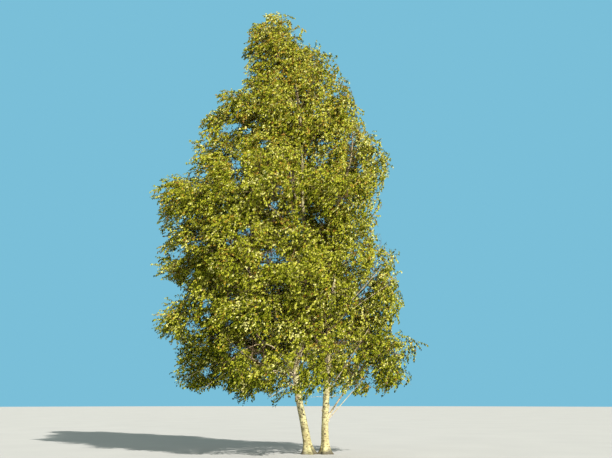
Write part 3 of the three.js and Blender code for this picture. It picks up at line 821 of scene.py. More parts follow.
def sprouted(root, tangent, turn, t, number, rule):
    """New shoots that leave their carrier at a turn round it; t is how far along it they stand."""
    beside, across = axes_across(tangent)
    out = tangent * rule.forward + beside * np.cos(turn)[:, None] + across * np.sin(turn)[:, None]
    breeze = FINE_BREEZE if rule in (TWIGS, TWIGLETS) else BREEZE
    direction = unit(unit(out) - UP * rule.droop + breeze)
    length = rule.longest * (1 - rule.taper * t) * (1 + either(rule.length_spread, number, rule.key + 1))
    length = length[:, None]
    return SimpleNamespace(
        root=root,
        way=direction * length,
        sag=(breeze - UP * rule.sag) * length,
        thick=np.full(len(number), rule.thick),
        thin=np.full(len(number), rule.thin),
        mass=np.zeros(len(number), int),
        turn=turn,
        number=number,
    )


def dealt_out(count):
    """The carrier of each thing, where every carrier has a count of them, and its number on that one."""
    index = np.repeat(np.arange(len(count)), count)
    return index, np.arange(len(index)) - np.repeat(np.cumsum(count) - count, count)


def side_shoots(carriers, rule):
    """The side shoots of every carrier, each a golden angle further round than the last."""
    wanted = np.round(lengths_of(carriers) * (1 - rule.start) / rule.spacing).astype(int)
    count = np.clip(wanted, rule.least_count, rule.most_count)
    index, k = dealt_out(count)
    t = rule.start + (1 - rule.start) * (k + SHOOT_OFFSET) / count[index]
    number = np.arange(len(index))
    carrier = picked(carriers, index)
    turn = carrier.turn + k * GOLDEN_ANGLE + either(rule.spread, number, rule.key)
    shoots = sprouted(*spots_on(carrier, t), turn, t, number, rule)
    shoots.thick = np.minimum(TWIG_ROOT_SHARE * radius_at(carrier, t), rule.thick)
    shoots.mass = carrier.mass
    if rule is TWIGLETS:
        shoots.number = carrier.number
    return fitted(shoots, rule)


def limb_shoots(roots, tangents, shares, rule):
    """Shoots straight out of a stem or bough, which fill the crown's inside."""
    number = np.arange(len(roots))
    turn = number * GOLDEN_ANGLE + either(rule.spread, number, rule.key)
    shoots = sprouted(roots, tangents, turn, shares, number, rule)
    shoots.mass = depths_in(spots_on(shoots, PLACED_BY)[0]).argmin(1)
    return fitted(shoots, rule)


def stem_shoots(stem):
    height = np.arange(STEM_SHOOTS.start, stem_top(stem) - STEM_TIP_BARE, STEM_SHOOTS.spacing)
    tangents = unit(stem_middle(stem, height + TANGENT_STEP) - stem_middle(stem, height - TANGENT_STEP))
    return limb_shoots(stem_middle(stem, height), tangents, height / stem_top(stem), STEM_SHOOTS)


def bough_shoots(bough):
    rule = BOUGH_SHOOTS
    count = max(int((1 - rule.start) * np.linalg.norm(bough.way) / rule.spacing), rule.least_count)
    t = np.linspace(rule.start, rule.end, count)
    return limb_shoots(*along_one(bough, t), t, rule)


def front_shoot(stem, height, bend, end, thick, *_):
    shoot = bezier_shoot(stem_middle(stem, height), bend, end, thick, thick * PALE_TAPER, 0)
    shoot.mass = int(depths_in(np.array([end], float)).argmin())
    return shoot


PALE_SHOOTS = stacked([front_shoot(*each) for each in FRONT_SHOOTS])


# What stays clear of leaves

def stretches(limits):
    return np.concatenate([
        stem_middle(stem, np.arange(low, high, SHOW_STEP)) for stem, low, high in limits
    ])


def shown_limbs():
    """Places on the limbs that show, and how wide the camera's way and the light's way to each is."""
    shoots = [
        points_on(picked(PALE_SHOOTS, [number]), np.arange(first, last, SHOW_STEP / 2))[0]
        for number, (*_, first, last) in enumerate(FRONT_SHOOTS)
    ]
    several = [stretches(STEM_SHOWS), np.concatenate(shoots), stretches(STEM_LIT)]
    places = np.concatenate(several)
    ragged = 1 + SHOW_RAGGED * rough(places, SHOW_NOISE, KEY.shown)
    camera_width, light_width = (
        np.repeat([STEM_SHOW_WIDTH, SHOOT_SHOW_WIDTH, below], [len(part) for part in several]) * ragged
        for below in (0, STEM_LIT_WIDTH / LIGHT_SHARE)
    )
    return places, camera_width, light_width * LIGHT_SHARE


def seen_by_camera(points):
    """Where the camera sees points on the upright plane through the origin, and how near they are."""
    share = (0 - EYE.y) / (points[:, 1] - EYE.y)
    x = EYE.x + (points[:, 0] - EYE.x) * share
    height = EYE.z + (points[:, 2] - EYE.z) * share
    return np.stack([x, height], axis=-1), -points[:, 1]


def seen_by_sun(points):
    return points @ np.stack(axes_across(TO_SUN)).T, points @ TO_SUN


def flat(seen):
    """Points on a plane as a search tree takes them."""
    return np.pad(seen, ((0, 0), (0, 1)))


def way_open(view, widths):
    seen, nearness = view(SHOWN_PLACES)
    return view, widths, search_tree(flat(seen)), nearness


SHOWN_PLACES, CAMERA_WIDTHS, LIGHT_WIDTHS = shown_limbs()
WAYS_OPEN = [way_open(seen_by_camera, CAMERA_WIDTHS), way_open(seen_by_sun, LIGHT_WIDTHS)]


def before_limb(points, number):
    """True for most of what stands between a limb that shows and the camera, or the sun."""
    hides = np.zeros(len(points), bool)
    for view, widths, tree, shown_nearness in WAYS_OPEN:
        seen, nearness = view(points)
        nearest, distance = nearest_in(tree, flat(seen))
        width = widths[nearest] * (1 + either(SHOW_SPREAD, number, KEY.way))
        hides |= (distance < width) & (nearness > shown_nearness[nearest])
    return hides & (chance(number, KEY.kept_leaf) > SHOW_LEAVES)


def near_any(points, places):
    """True for points that the camera sees in one of several ragged ellipses."""
    x, height = seen_by_camera(points)[0].T
    ragged = 1 + GAP_RAGGED * rough(np.stack([x, height, height], axis=-1), GAP_NOISE, KEY.gap)
    nearest = np.full(len(points), np.inf)
    for place_x, place_height, half_width, half_height in places:
        away = np.hypot((x - place_x) / half_width, (height - place_height) / half_height)
        nearest = np.minimum(nearest, away)
    return nearest < ragged


def in_opening(points, number):
    """True for most of the leaves in a gap of sky, or in a hollow in the crown's front."""
    in_gap = near_any(points, SKY_GAPS) & (chance(number, KEY.gap_leaf) > GAP_LEAVES)
    further_in = points + (0, HOLLOW_DEPTH, 0)
    near_front = (points[:, 1] < 0) & (depth_in_crown(points) > depth_in_crown(further_in))
    in_hollow = near_any(points, HOLLOWS) & (chance(number, KEY.hollow_leaf) > HOLLOW_LEAVES)
    return in_gap | (near_front & in_hollow)


def in_air(points):
    """True in the pockets of air between sprays, wider at the crown's low left and narrower at its top."""
    x, _, height = points.T
    low_left = share_in(x, AIRY_LEFT_BAND) * share_in(height, AIRY_LOW_BAND)
    level = AIRY_LEVEL - AIRY_LEFT * low_left + AIRY_TOP * share_in(height, TOP_BAND)
    return (rough(hung(points), AIRY_SIZE, KEY.airy) > level) & (depth_in_crown(points) > AIRY_DEPTH)


def is_deep(points):
    """True deep inside the crown, away from its flanks, top and foot."""
    depths = [depth_in_crown(points + UP * rise) for rise in (-DEEP_RISE, 0, DEEP_RISE)]
    return np.max(depths, axis=0) < DEEP


# Meshes from arrays

def tube_mesh(shoots, sides, steps):
    """Points, triangles and each point's radius for a pointed tube along each shoot."""
    t = np.linspace(0, 1, steps + 1)
    middle, way = points_on(shoots, t), ways_on(shoots, t)
    first_beside, _ = axes_across(way[:, :1])
    beside = unit(first_beside - way * (first_beside * way).sum(-1, keepdims=True))
    across = np.cross(way, beside)
    radius = shoots.thick[:, None] + (shoots.thin - shoots.thick)[:, None] * t
    angle = 2 * math.pi * np.arange(sides)[:, None] / sides
    ring = np.cos(angle) * beside[:, :, None] + np.sin(angle) * across[:, :, None]
    points = middle[:, :, None] + radius[..., None, None] * ring
    points = points.reshape(len(middle), (steps + 1) * sides, 3)
    tip = steps * sides
    points = np.concatenate([points[:, :tip], middle[:, -1:]], axis=1)
    faces = []
    for step in range(steps):
        for side in range(sides):
            a, b = step * sides + side, step * sides + (side + 1) % sides
            if step == steps - 1:
                faces.append((a, b, tip))
            else:
                faces += [(a, b, b + sides), (a, b + sides, a + sides)]
    offsets = (tip + 1) * np.arange(len(points))[:, None, None]
    radius = np.repeat(radius, sides, axis=1)[:, : tip + 1]
    return points.reshape(-1, 3), (np.array(faces) + offsets).reshape(-1, 3), radius.ravel()


def leaf_mesh(base, direction, normal, length):
    """Points and triangles of leaves in their own outline, each folded a little along its midrib."""
    side = np.cross(direction, normal)
    outline = np.array(LEAF_OUTLINE)
    along = outline[:, 0][:, None]
    aside = outline[:, 1][:, None] * LEAF_HALF_WIDTH
    lift = np.abs(outline[:, 1][:, None]) * LEAF_FOLD - along**2 * LEAF_TIP_DROP
    shape = direction[:, None] * along + side[:, None] * aside + normal[:, None] * lift
    points = base[:, None] + shape * length[:, None, None]
    offsets = len(outline) * np.arange(len(base))[:, None, None]
    return points.reshape(-1, 3), (LEAF_FACES + offsets).reshape(-1, 3)


def joined(parts):
    """One array of points and one of polygons from several (points, polygons)."""
    starts = np.cumsum([0] + [len(points) for points, _ in parts[:-1]])
    points = np.concatenate([points for points, _ in parts])
    return points, np.concatenate([polygons + start for (_, polygons), start in zip(parts, starts)])


def placed(name, data):
    """An object in the scene."""
    made = bpy.data.objects.new(name, data)
    bpy.context.scene.collection.objects.link(made)
    return made


def mesh_piece(name, points, polygons, materials, dealt=None, smooth=True, facts=None):
    """A named mesh that rides on the tree's one body. Polygons are arrays, each of one size."""
    mesh = bpy.data.meshes.new(name)
    corners = np.concatenate([group.ravel() for group in polygons]).astype(np.int32)
    sizes = np.concatenate([np.full(len(group), group.shape[1]) for group in polygons])
    mesh.vertices.add(len(points))
    mesh.vertices.foreach_set("co", points.astype(np.float32).ravel())
    mesh.loops.add(len(corners))
    mesh.loops.foreach_set("vertex_index", corners)
    mesh.polygons.add(len(sizes))
    mesh.polygons.foreach_set("loop_start", (np.cumsum(sizes) - sizes).astype(np.int32))
    mesh.polygons.foreach_set("use_smooth", np.full(len(sizes), smooth))
    for material in materials:
        mesh.materials.append(material)
    if dealt is not None:
        mesh.polygons.foreach_set("material_index", dealt.astype(np.int32))
    for fact, values in (facts or {}).items():
        kind, field = ("FLOAT_VECTOR", "vector") if values.ndim > 1 else ("FLOAT", "value")
        made = mesh.attributes.new(fact, kind, "POINT")
        made.data.foreach_set(field, values.astype(np.float32).ravel())
    mesh.update(calc_edges=True)
    piece = placed(name, mesh)
    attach(piece, "root")
    return piece


def bark_facts(place, radius, foot=0.0):
    """What the bark's material reads at each point: its place, its limb's radius and how dark it is."""
    return {"bark_place": place, "limb_radius": radius, "foot": np.broadcast_to(foot, len(place))}


# Materials

def new_material(name):
    material = bpy.data.materials.new(name)
    material.use_nodes = True
    return material, material.node_tree, material.node_tree.nodes["Principled BSDF"]


def feed(tree, socket, value):
    """Links an output to a socket, or sets the socket to a plain value."""
    if isinstance(value, bpy.types.NodeSocket):
        tree.links.new(value, socket)
    else:
        socket.default_value = value


def new_node(tree, kind, **inputs):
    """A shader node with its inputs fed, their names written with underscores."""
    node = tree.nodes.new("ShaderNode" + kind)
    for name, value in inputs.items():
        feed(tree, node.inputs[name.replace("_", " ")], value)
    return node


def ramp(tree, factor, stops):
    """A colour ramp over a factor, with stops as (place, linear colour)."""
    node = new_node(tree, "ValToRGB", Fac=factor)
    elements = node.color_ramp.elements
    while len(elements) < len(stops):
        elements.new(0.5)
    for element, (place, colour) in zip(elements, stops):
        element.position = place
        element.color = (*colour, 1)
    return node.outputs["Color"]


def grey(value):
    return (value, value, value)


def noise_on(tree, vector, scale, stretch=(1, 1, 1), detail=3.0):
    mapping = new_node(tree, "Mapping", Scale=stretch, Vector=vector)
    node = new_node(tree, "TexNoise", Scale=scale, Detail=detail, Vector=mapping.outputs["Vector"])
    return node.outputs["Fac"]


def object_place(tree):
    return new_node(tree, "TexCoord").outputs["Object"]


def fact(tree, name, output):
    node = new_node(tree, "Attribute")
    node.attribute_name = name
    return node.outputs[output]


def mixed(tree, factor, first, second, blend="MIX"):
    node = new_node(tree, "Mix")
    node.data_type = "RGBA"
    node.blend_type = blend
    colours = [socket for socket in node.inputs if socket.type == "RGBA"]
    for value, socket in zip((first, second), colours):
        feed(tree, socket, (*value, 1) if isinstance(value, tuple) else value)
    feed(tree, node.inputs["Factor"], factor)
    return next(socket for socket in node.outputs if socket.type == "RGBA")


def bumped(tree, shader, height, strength, distance):
    node = new_node(tree, "Bump", Strength=strength, Distance=distance, Height=height)
    tree.links.new(node.outputs["Normal"], shader.inputs["Normal"])


# Shades laid over the bark: how its noise is stretched, the noise's detail, and the shade's stops.
BARK_SHADES = [
    ((6, 6, 85), 4.0, [(0.3, grey(0.82)), (0.62, grey(1.0))]),
    ((14, 14, 26), 2.0, [(0.54, grey(1.0)), (0.64, (0.44, 0.36, 0.26))]),
]
DASH_STRETCH = (17, 17, 190)
DASH_EDGE = 0.05
DASH_COLOUR = (0.075, 0.055, 0.042)
FOOT_COLOUR = (0.05, 0.042, 0.034)


def bark_material(name, pale, warm, thin_colour, thin_radius, pale_radius, mark_level):
    """Papery bark: mottled, with dark dashes across it, brown on thin limbs and dark at the foot."""
    material, tree, shader = new_material(name)
    place = fact(tree, "bark_place", "Vector")
    colour = ramp(tree, noise_on(tree, place, 4.0, (1, 1, 0.6)), [(0.32, warm), (0.6, pale)])
    for stretch, detail, stops in BARK_SHADES:
        shade = ramp(tree, noise_on(tree, place, 1.0, stretch, detail), stops)
        colour = mixed(tree, 1.0, colour, shade, "MULTIPLY")
    radius = fact(tree, "limb_radius", "Fac")
    thick = new_node(tree, "MapRange", From_Min=thin_radius, From_Max=pale_radius, Value=radius)
    colour = mixed(tree, thick.outputs["Result"], thin_colour, colour)
    dashes = noise_on(tree, place, 1.0, DASH_STRETCH, detail=1.5)
    marks = ramp(tree, dashes, [(mark_level, grey(0.0)), (mark_level + DASH_EDGE, grey(1.0))])
    colour = mixed(tree, marks, colour, DASH_COLOUR)
    colour = mixed(tree, fact(tree, "foot", "Fac"), colour, FOOT_COLOUR)
    feed(tree, shader.inputs["Base Color"], colour)
    grain = noise_on(tree, place, 1.0, (40, 40, 160))
    feed(tree, shader.inputs["Roughness"], ramp(tree, grain, [(0.3, grey(0.5)), (0.7, grey(0.78))]))
    bumped(tree, shader, grain, 0.5, 0.003)
    return material


def plain_bark(name, light, dark, scale, roughness):
    """Bark of one kind with mottling from an object's own coordinates."""
    material, tree, shader = new_material(name)
    mottle = noise_on(tree, object_place(tree), scale)
    feed(tree, shader.inputs["Base Color"], ramp(tree, mottle, [(0.35, dark), (0.65, light)]))
    shader.inputs["Roughness"].default_value = roughness
    bumped(tree, shader, mottle, 0.4, 0.002)
    return material


def leaf_material(name, colour):
    material, tree, shader = new_material(name)
    shader.inputs["Base Color"].default_value = (*colour, 1)
    grain = noise_on(tree, object_place(tree), 60.0)
    feed(tree, shader.inputs["Roughness"], ramp(tree, grain, [(0.3, grey(0.5)), (0.7, grey(0.68))]))
    shader.inputs["Specular IOR Level"].default_value = 0.08
    return material


STEM_BARK = bark_material(
    "stem_bark", (0.6, 0.58, 0.33), (0.45, 0.395, 0.2), (0.4, 0.3, 0.2), 0.018, 0.034, 0.575
)
BOUGH_BARK = bark_material(
    "bough_bark", (0.74, 0.66, 0.48), (0.56, 0.46, 0.31), (0.3, 0.21, 0.13), 0.009, 0.026, 0.66
)
SCAR_BARK = plain_bark("scar_bark", (0.06, 0.05, 0.04), (0.025, 0.02, 0.017), 60.0, 0.85)
PAPER_OUT = plain_bark("paper_outside", (0.8, 0.75, 0.64), (0.62, 0.54, 0.42), 30.0, 0.55)
PAPER_IN = plain_bark("paper_inside", (0.62, 0.4, 0.25), (0.46, 0.27, 0.16), 40.0, 0.6)
TWIG_BARK = plain_bark("twig_bark", (0.21, 0.14, 0.09), (0.1, 0.062, 0.042), 12.0, 0.6)
LEAF_MATERIALS = [leaf_material(name, colour) for name, colour, _ in LEAF_TINTS]


# Stems in relief

STEM_COLUMNS = 36
STEM_ROWS = 300
STEM_ROW_GROWTH = 1.25  # rows are nearer each other at the foot
COLLAR_SHARE = 0.3  # how far a stem swells round a bough, and how widely, in the bough's radii
COLLAR_WIDTH = 1.6
EXIT_SEARCH = np.linspace(0, 0.6, 200)  # where along a bough its way out of the stem is looked for
FOOT_DARK_HEIGHT = 0.2
RIB_HEIGHT = 0.45  # how high the ribs run up from the flare
RIB_OUT = 0.008
RIB_NOISE = 0.5
LUMP_SHARE = 0.035  # how far a stem's lumps stand out, as a share of its radius
LUMP_SIZE = 0.3
GRAIN_OUT = 0.0022
GRAIN_SIZE = (0.07, 0.07, 0.03)
PLATE_OUT = 0.007  # the plates of rough bark at the foot
PLATE_SUNK = 0.003
PLATE_SIZE = (0.045, 0.045, 0.11)
PATCH_SIZE = (0.09, 0.09, 0.16)  # the dark patches there
PATCH_SPREAD = 0.9
PATCH_LEVEL = 0.55
FOOT_DARK = 1.5
DARKEST = 0.9


def bough_exit(bough):
    """Where a bough leaves its stem's surface, as t, turn round the stem and height."""
    points, _ = along_one(bough, EXIT_SEARCH)
    away = points - stem_middle(bough.stem, points[:, 2])
    out = np.hypot(away[:, 0], away[:, 1]) > stem_radius(bough.stem, points[:, 2])
    first = int(np.argmax(out))
    return EXIT_SEARCH[first], math.atan2(away[first, 1], away[first, 0]), points[first, 2]


EXITS = [(bough, *bough_exit(bough)) for bough in BOUGHS.values()]


def turned(angle):
    """An angle brought to between minus and plus half a turn."""
    return (angle + math.pi) % (2 * math.pi) - math.pi


def round_stem(stem, turn, height):
    """Places round a stem as if it were straight, where its bark's patterns lie."""
    radius = stem_radius(stem, height)
    return np.stack([radius * np.cos(turn), radius * np.sin(turn), height], axis=-1)


def stem_relief(stem, turn, height):
    """How far a stem's surface stands from its middle, and how dark its bark is by the foot."""
    radius = stem_radius(stem, height)
    place = round_stem(stem, turn, height)
    lobe_turn = FLARE_LOBES * (turn - stem.flare_turn)
    spread = FLARE_SPREAD * np.exp(-height / FLARE_HEIGHT)
    away = radius + spread * (1 + FLARE_LOBE_DEPTH * np.cos(lobe_turn))
    ribs = np.exp(-height / RIB_HEIGHT) * np.cos(lobe_turn + 2 * rough(place, RIB_NOISE, KEY.rib))
    away = away + RIB_OUT * ribs + LUMP_SHARE * radius * rough(place, LUMP_SIZE, stem.key)
    away = away + GRAIN_OUT * rough(place, GRAIN_SIZE, stem.key + KEY.grain)
    plates = rough(place, PLATE_SIZE, stem.key + KEY.plate)
    near_foot = np.exp(-((height / FOOT_DARK_HEIGHT) ** 2))
    away = away + near_foot * (PLATE_OUT * np.abs(plates) - PLATE_SUNK)
    patches = rough(place, PATCH_SIZE, stem.key + KEY.patch)
    dark = np.clip(near_foot * FOOT_DARK + PATCH_SPREAD * patches - PATCH_LEVEL, 0, 1) * DARKEST
    for bough, _, bough_turn, bough_height in EXITS:
        if bough.stem is stem:
            aside = turned(turn - bough_turn) * radius
            width = COLLAR_WIDTH * bough.thick
            near = np.exp(-(aside**2 + (height - bough_height) ** 2) / width**2)
            away = away + COLLAR_SHARE * bough.thick * near
    return away, dark


def surface_radius(stem, turn, height):
    return stem_relief(stem, np.array(turn), np.array(height))[0]


def on_stem(stem, turn, height, out=0.0):
    """Points on a stem's surface, or out from it."""
    away, _ = stem_relief(stem, turn, height)
    outward = np.stack([np.cos(turn), np.sin(turn), np.zeros_like(turn)], axis=-1)
    return stem_middle(stem, height) + outward * (away + out)[..., None]


def grid_quads(rows, columns, wrap):
    wide = columns if wrap else columns - 1
    row, column = np.meshgrid(np.arange(rows - 1), np.arange(wide), indexing="ij")
    a = row * columns + column
    b = row * columns + (column + 1) % columns
    return np.stack([a, b, b + columns, a + columns], axis=-1).reshape(-1, 4)


def stem_piece(stem):
    share = np.linspace(0, 1, STEM_ROWS) ** STEM_ROW_GROWTH
    turn = 2 * math.pi * np.arange(STEM_COLUMNS) / STEM_COLUMNS
    turn, height = np.meshgrid(turn, share * stem_top(stem))
    points = on_stem(stem, turn, height).reshape(-1, 3)
    _, dark = stem_relief(stem, turn, height)
    last = (STEM_ROWS - 1) * STEM_COLUMNS
    caps = np.array([np.arange(STEM_COLUMNS)[::-1], last + np.arange(STEM_COLUMNS)])
    place = round_stem(stem, turn, height).reshape(-1, 3)
    piece = mesh_piece(
        f"{stem.name}_bark", points, [grid_quads(STEM_ROWS, STEM_COLUMNS, True), caps], [STEM_BARK],
        facts=bark_facts(place, stem_radius(stem, height).ravel(), dark.ravel()),
    )
    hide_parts(stem.name)


for each_stem in STEMS:
    stem_piece(each_stem)


# Boughs in relief

BOUGH_COLUMNS = 14
BOUGH_ROWS = 44
LOW_BOUGH_SLIM = 0.6
BOUGH_START = 0.45  # where the bark starts, as a share of the bough's way out of its stem
BOUGH_COLLAR = 0.45  # how far a bough swells where it comes out, and how far along, in its radii
BOUGH_COLLAR_LENGTH = 1.4
BOUGH_LUMP = 0.07
BOUGH_LUMP_SIZE = (0.05, 0.05, 0.16)
BOUGH_GRAIN = 0.0012
BOUGH_GRAIN_SIZE = (0.03, 0.03, 0.014)


def bough_piece(bough, exit_t, number):
    t = np.linspace(exit_t * BOUGH_START, 1, BOUGH_ROWS)
    middle, way = along_one(bough, t)
    along = np.concatenate([[0], np.cumsum(np.linalg.norm(np.diff(middle, axis=0), axis=1))])
    from_exit = np.maximum(along - np.interp(exit_t, t, along), 0)
    radius = radius_at(bough, t)
    if bough.name == LOW_BOUGH:
        radius = radius * LOW_BOUGH_SLIM
    collar = BOUGH_COLLAR * bough.thick * np.exp(-from_exit / (BOUGH_COLLAR_LENGTH * bough.thick))
    beside, across = axes_across(way)
    turn = (2 * math.pi * np.arange(BOUGH_COLUMNS) / BOUGH_COLUMNS)[None, :]
    place = np.stack(np.broadcast_arrays(
        radius[:, None] * np.cos(turn), radius[:, None] * np.sin(turn), along[:, None]
    ), axis=-1)
    lumps = 1 + BOUGH_LUMP * rough(place, BOUGH_LUMP_SIZE, KEY.bough_lump + number)
    away = (radius + collar)[:, None] * lumps
    away = away + BOUGH_GRAIN * rough(place, BOUGH_GRAIN_SIZE, KEY.bough_grain + number)
    ring = np.cos(turn)[..., None] * beside[:, None] + np.sin(turn)[..., None] * across[:, None]
    points = (middle[:, None] + ring * away[..., None]).reshape(-1, 3)
    last = (BOUGH_ROWS - 1) * BOUGH_COLUMNS
    caps = np.array([np.arange(BOUGH_COLUMNS), last + np.arange(BOUGH_COLUMNS)[::-1]])
    quads = grid_quads(BOUGH_ROWS, BOUGH_COLUMNS, True)[:, ::-1]
    piece = mesh_piece(
        f"{bough.name}_bark", points, [quads, caps], [BOUGH_BARK],
        facts=bark_facts(place.reshape(-1, 3), np.repeat(radius, BOUGH_COLUMNS)),
    )
    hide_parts(bough.name)


for each_number, (each_bough, each_exit, _, _) in enumerate(EXITS):
    bough_piece(each_bough, each_exit, each_number)


# Marks and paper on the stems

# Of each pair, the first is the least, and the second how much more there may be.
MARKS_PER_STEM = 330
MARK_HEIGHT = (0.1, 7.0)
MARK_SPAN = (0.005, 0.02)
MARK_THICKNESS = (0.0012, 0.002)
MARK_COLUMNS = 11
MARK_ROWS = 3
MARK_OUT = 0.0036
MARK_SUNK = 0.001
SCARS_PER_STEM = 46
SCAR_HEIGHT = (0.35, 6)
SCAR_SIZE = (0.014, 0.026)
CURLS_PER_STEM = 24
CURL_HEIGHT = (0.45, 4.6)
CURL_TALL = (0.05, 0.1)
CURL_TURN = (1.4, 3.2)
CURL_RADIUS = (0.006, 0.009)
CURL_ROWS = 6
CURL_COLUMNS = 9
CURL_CONE = 0.3  # how much wider a curl is at its top
CURL_NARROWING = 0.25
CURL_TORN = 0.25
CURL_NOISE = 0.7
CURL_FLAT = 0.4
CURL_OFF = 0.001
PAPER_THICKNESS = 0.0006

# A scar's dark marks in its own sizes: how far up, half width, fall to both sides and half thickness.
BOUGH_SCAR = [(1.5, 2.4, 3.4, 0.42)]
OLD_SCAR = [(0, 1.8, 1.5, 0.3), (-0.9, 0.6, 0, 0.4)]
FRONT_SCAR = [(0, 1.5, 1.1, 0.42), (-0.8, 0.75, 0, 0.6)]
# The dark scars that the photo shows on the stems: stem, height, degrees round from the right, size.
FRONT_SCARS = [
    (LEFT_STEM, 1.28, -72, 0.042),
    (LEFT_STEM, 1.33, -118, 0.03),
    (LEFT_STEM, 1.14, -64, 0.034),
    (LEFT_STEM, 0.92, -104, 0.018),
    (LEFT_STEM, 0.9, -76, 0.018),
    (LEFT_STEM, 0.56, -60, 0.024),
    (LEFT_STEM, 1.62, -96, 0.026),
    (RIGHT_STEM, 0.59, -92, 0.032),
    (RIGHT_STEM, 0.96, -70, 0.02),
    (RIGHT_STEM, 1.46, -84, 0.028),
    (RIGHT_STEM, 1.2, -120, 0.018),
]


def draws(stem, i, key, count):
    """The chances that shape a stem's mark, scar or curl number i."""
    return chance(i, stem.key, key + np.arange(count))


def drawn(limits, draw):
    least, more = limits
    return least + more * draw


def mark_patch(stem, turn, height, span, fall, thick):
    """A dark mark with its edges sunk in: a dash, or an arch whose arms fall to both sides."""
    across, up = np.meshgrid(np.linspace(-1, 1, MARK_COLUMNS), np.linspace(-1, 1, MARK_ROWS))
    taper = np.sqrt(1 - np.abs(across) ** 1.6)
    turns = turn + across * span / surface_radius(stem, turn, height)
    heights = height - fall * np.abs(across) ** 1.2 + up * thick * taper
    out = MARK_OUT * (1 - up**2) * taper - MARK_SUNK
    points = on_stem(stem, turns, heights, out).reshape(-1, 3)
    return points, grid_quads(MARK_ROWS, MARK_COLUMNS, False)


def scar_patches(stem, turn, height, size, marks):
    return [
        mark_patch(stem, turn, height + up * size, span * size, fall * size, thick * size)
        for up, span, fall, thick in marks
    ]


def mark_parts():
    """Scars over the boughs, dashes, and the scars of boughs that fell long ago."""
    parts = []
    for bough, _, turn, height in EXITS:
        parts += scar_patches(bough.stem, turn, height, bough.thick, BOUGH_SCAR)
    for stem in STEMS:
        for i in range(MARKS_PER_STEM):
            up, turn, span, thick = draws(stem, i, KEY.mark, 4)
            height, span = drawn(MARK_HEIGHT, up**1.2), drawn(MARK_SPAN, span**2)
            thick = drawn(MARK_THICKNESS, thick)
            parts.append(mark_patch(stem, 2 * math.pi * turn, height, span, 0, thick))
    for stem in STEMS:
        for i in range(SCARS_PER_STEM):
            up, turn, size = draws(stem, i, KEY.scar, 3)
            height, size = drawn(SCAR_HEIGHT, up**1.3), drawn(SCAR_SIZE, size)
            parts += scar_patches(stem, 2 * math.pi * turn, height, size, OLD_SCAR)
    for stem, height, degrees, size in FRONT_SCARS:
        parts += scar_patches(stem, math.radians(degrees), height, size, FRONT_SCAR)
    return parts


mark_points, mark_quads = joined(mark_parts())
marks = mesh_piece("bark_marks", mark_points, [mark_quads], [SCAR_BARK])


def curl_sheet(stem, curl, inner):
    """A strip of paper bark that leaves the stem along an upright line and rolls outwards."""
    share, up = np.meshgrid(np.linspace(0, 1, CURL_COLUMNS), np.linspace(-1, 1, CURL_ROWS))
    torn = rough(np.stack([share * 3, up, np.full_like(up, curl.number)], -1), CURL_NOISE, KEY.paper)
    heights = curl.height + up * curl.tall / 2 * (1 - CURL_NARROWING * share)
    heights = heights + CURL_TORN * curl.tall * torn * share
    wide = curl.radius * (1 + CURL_CONE * up)
    roll = wide - inner * PAPER_THICKNESS
    aside = roll * np.sin(share * curl.turn_round) + CURL_FLAT * curl.radius * share
    away = CURL_OFF + wide - roll * np.cos(share * curl.turn_round)
    radius = surface_radius(stem, curl.turn, curl.height)
    return on_stem(stem, curl.turn + curl.sense * aside / (radius + away), heights, away)


def curl_parts(inner):
    parts = []
    quads = grid_quads(CURL_ROWS, CURL_COLUMNS, False)
    for stem in STEMS:
        for i in range(CURLS_PER_STEM):
            up, turn, tall, turn_round, radius, sense = draws(stem, i, KEY.curl, 6)
            curl = SimpleNamespace(
                number=i,
                height=drawn(CURL_HEIGHT, up),
                turn=2 * math.pi * turn,
                tall=drawn(CURL_TALL, tall),
                turn_round=drawn(CURL_TURN, turn_round),
                radius=drawn(CURL_RADIUS, radius),
                sense=1 if sense < 0.5 else -1,
            )
            outward = (curl.sense > 0) != inner
            points = curl_sheet(stem, curl, inner).reshape(-1, 3)
            parts.append((points, quads if outward else quads[:, ::-1]))
    return parts


outside, inside = joined(curl_parts(False)), joined(curl_parts(True))
both = joined([outside, inside])
dealt = np.repeat([0, 1], [len(outside[1]), len(inside[1])])
curls = mesh_piece("paper_curls", both[0], [both[1]], [PAPER_OUT, PAPER_IN], dealt)


# Twigs

def grown():
    """Every level of shoots below the masses' own stems."""
    limbs = [stem_shoots(stem) for stem in STEMS] + [bough_shoots(bough) for bough in BOUGHS.values()]
    branchlets = together(side_shoots(AXES, BRANCHLETS), *limbs)
    twigs = side_shoots(together(branchlets, PALE_SHOOTS, AXES), TWIGS)
    twiglets = side_shoots(twigs, TWIGLETS)
    middles, _ = spots_on(twiglets, PLACED_BY)
    number = np.arange(len(middles))
    hidden = is_deep(middles) & (chance(number, KEY.deep) > DEEP_SHARE)
    cut = hidden | in_air(middles) | in_opening(middles, number) | before_limb(middles, number)
    return [(branchlets, BRANCHLETS), (twigs, TWIGS), (picked(twiglets, ~cut), TWIGLETS)]


LEVELS = grown()
GROUPS = list(dict.fromkeys(mass.group for mass in MASSES))
GROUP_OF = np.array([GROUPS.index(mass.group) for mass in MASSES])
AXIS_SIDES = 9
PALE_SIDES = 8
LONG_STEPS = 14  # of both
PAINTED_LIGHT_RADIUS = 0.03  # the bark on the pale shoots is as pale as on limbs this thick, as painted light for the sun on them


def nodes_of_group(group):
    return [f"{mass.place}_leaves" for mass in MASSES if mass.group == group]


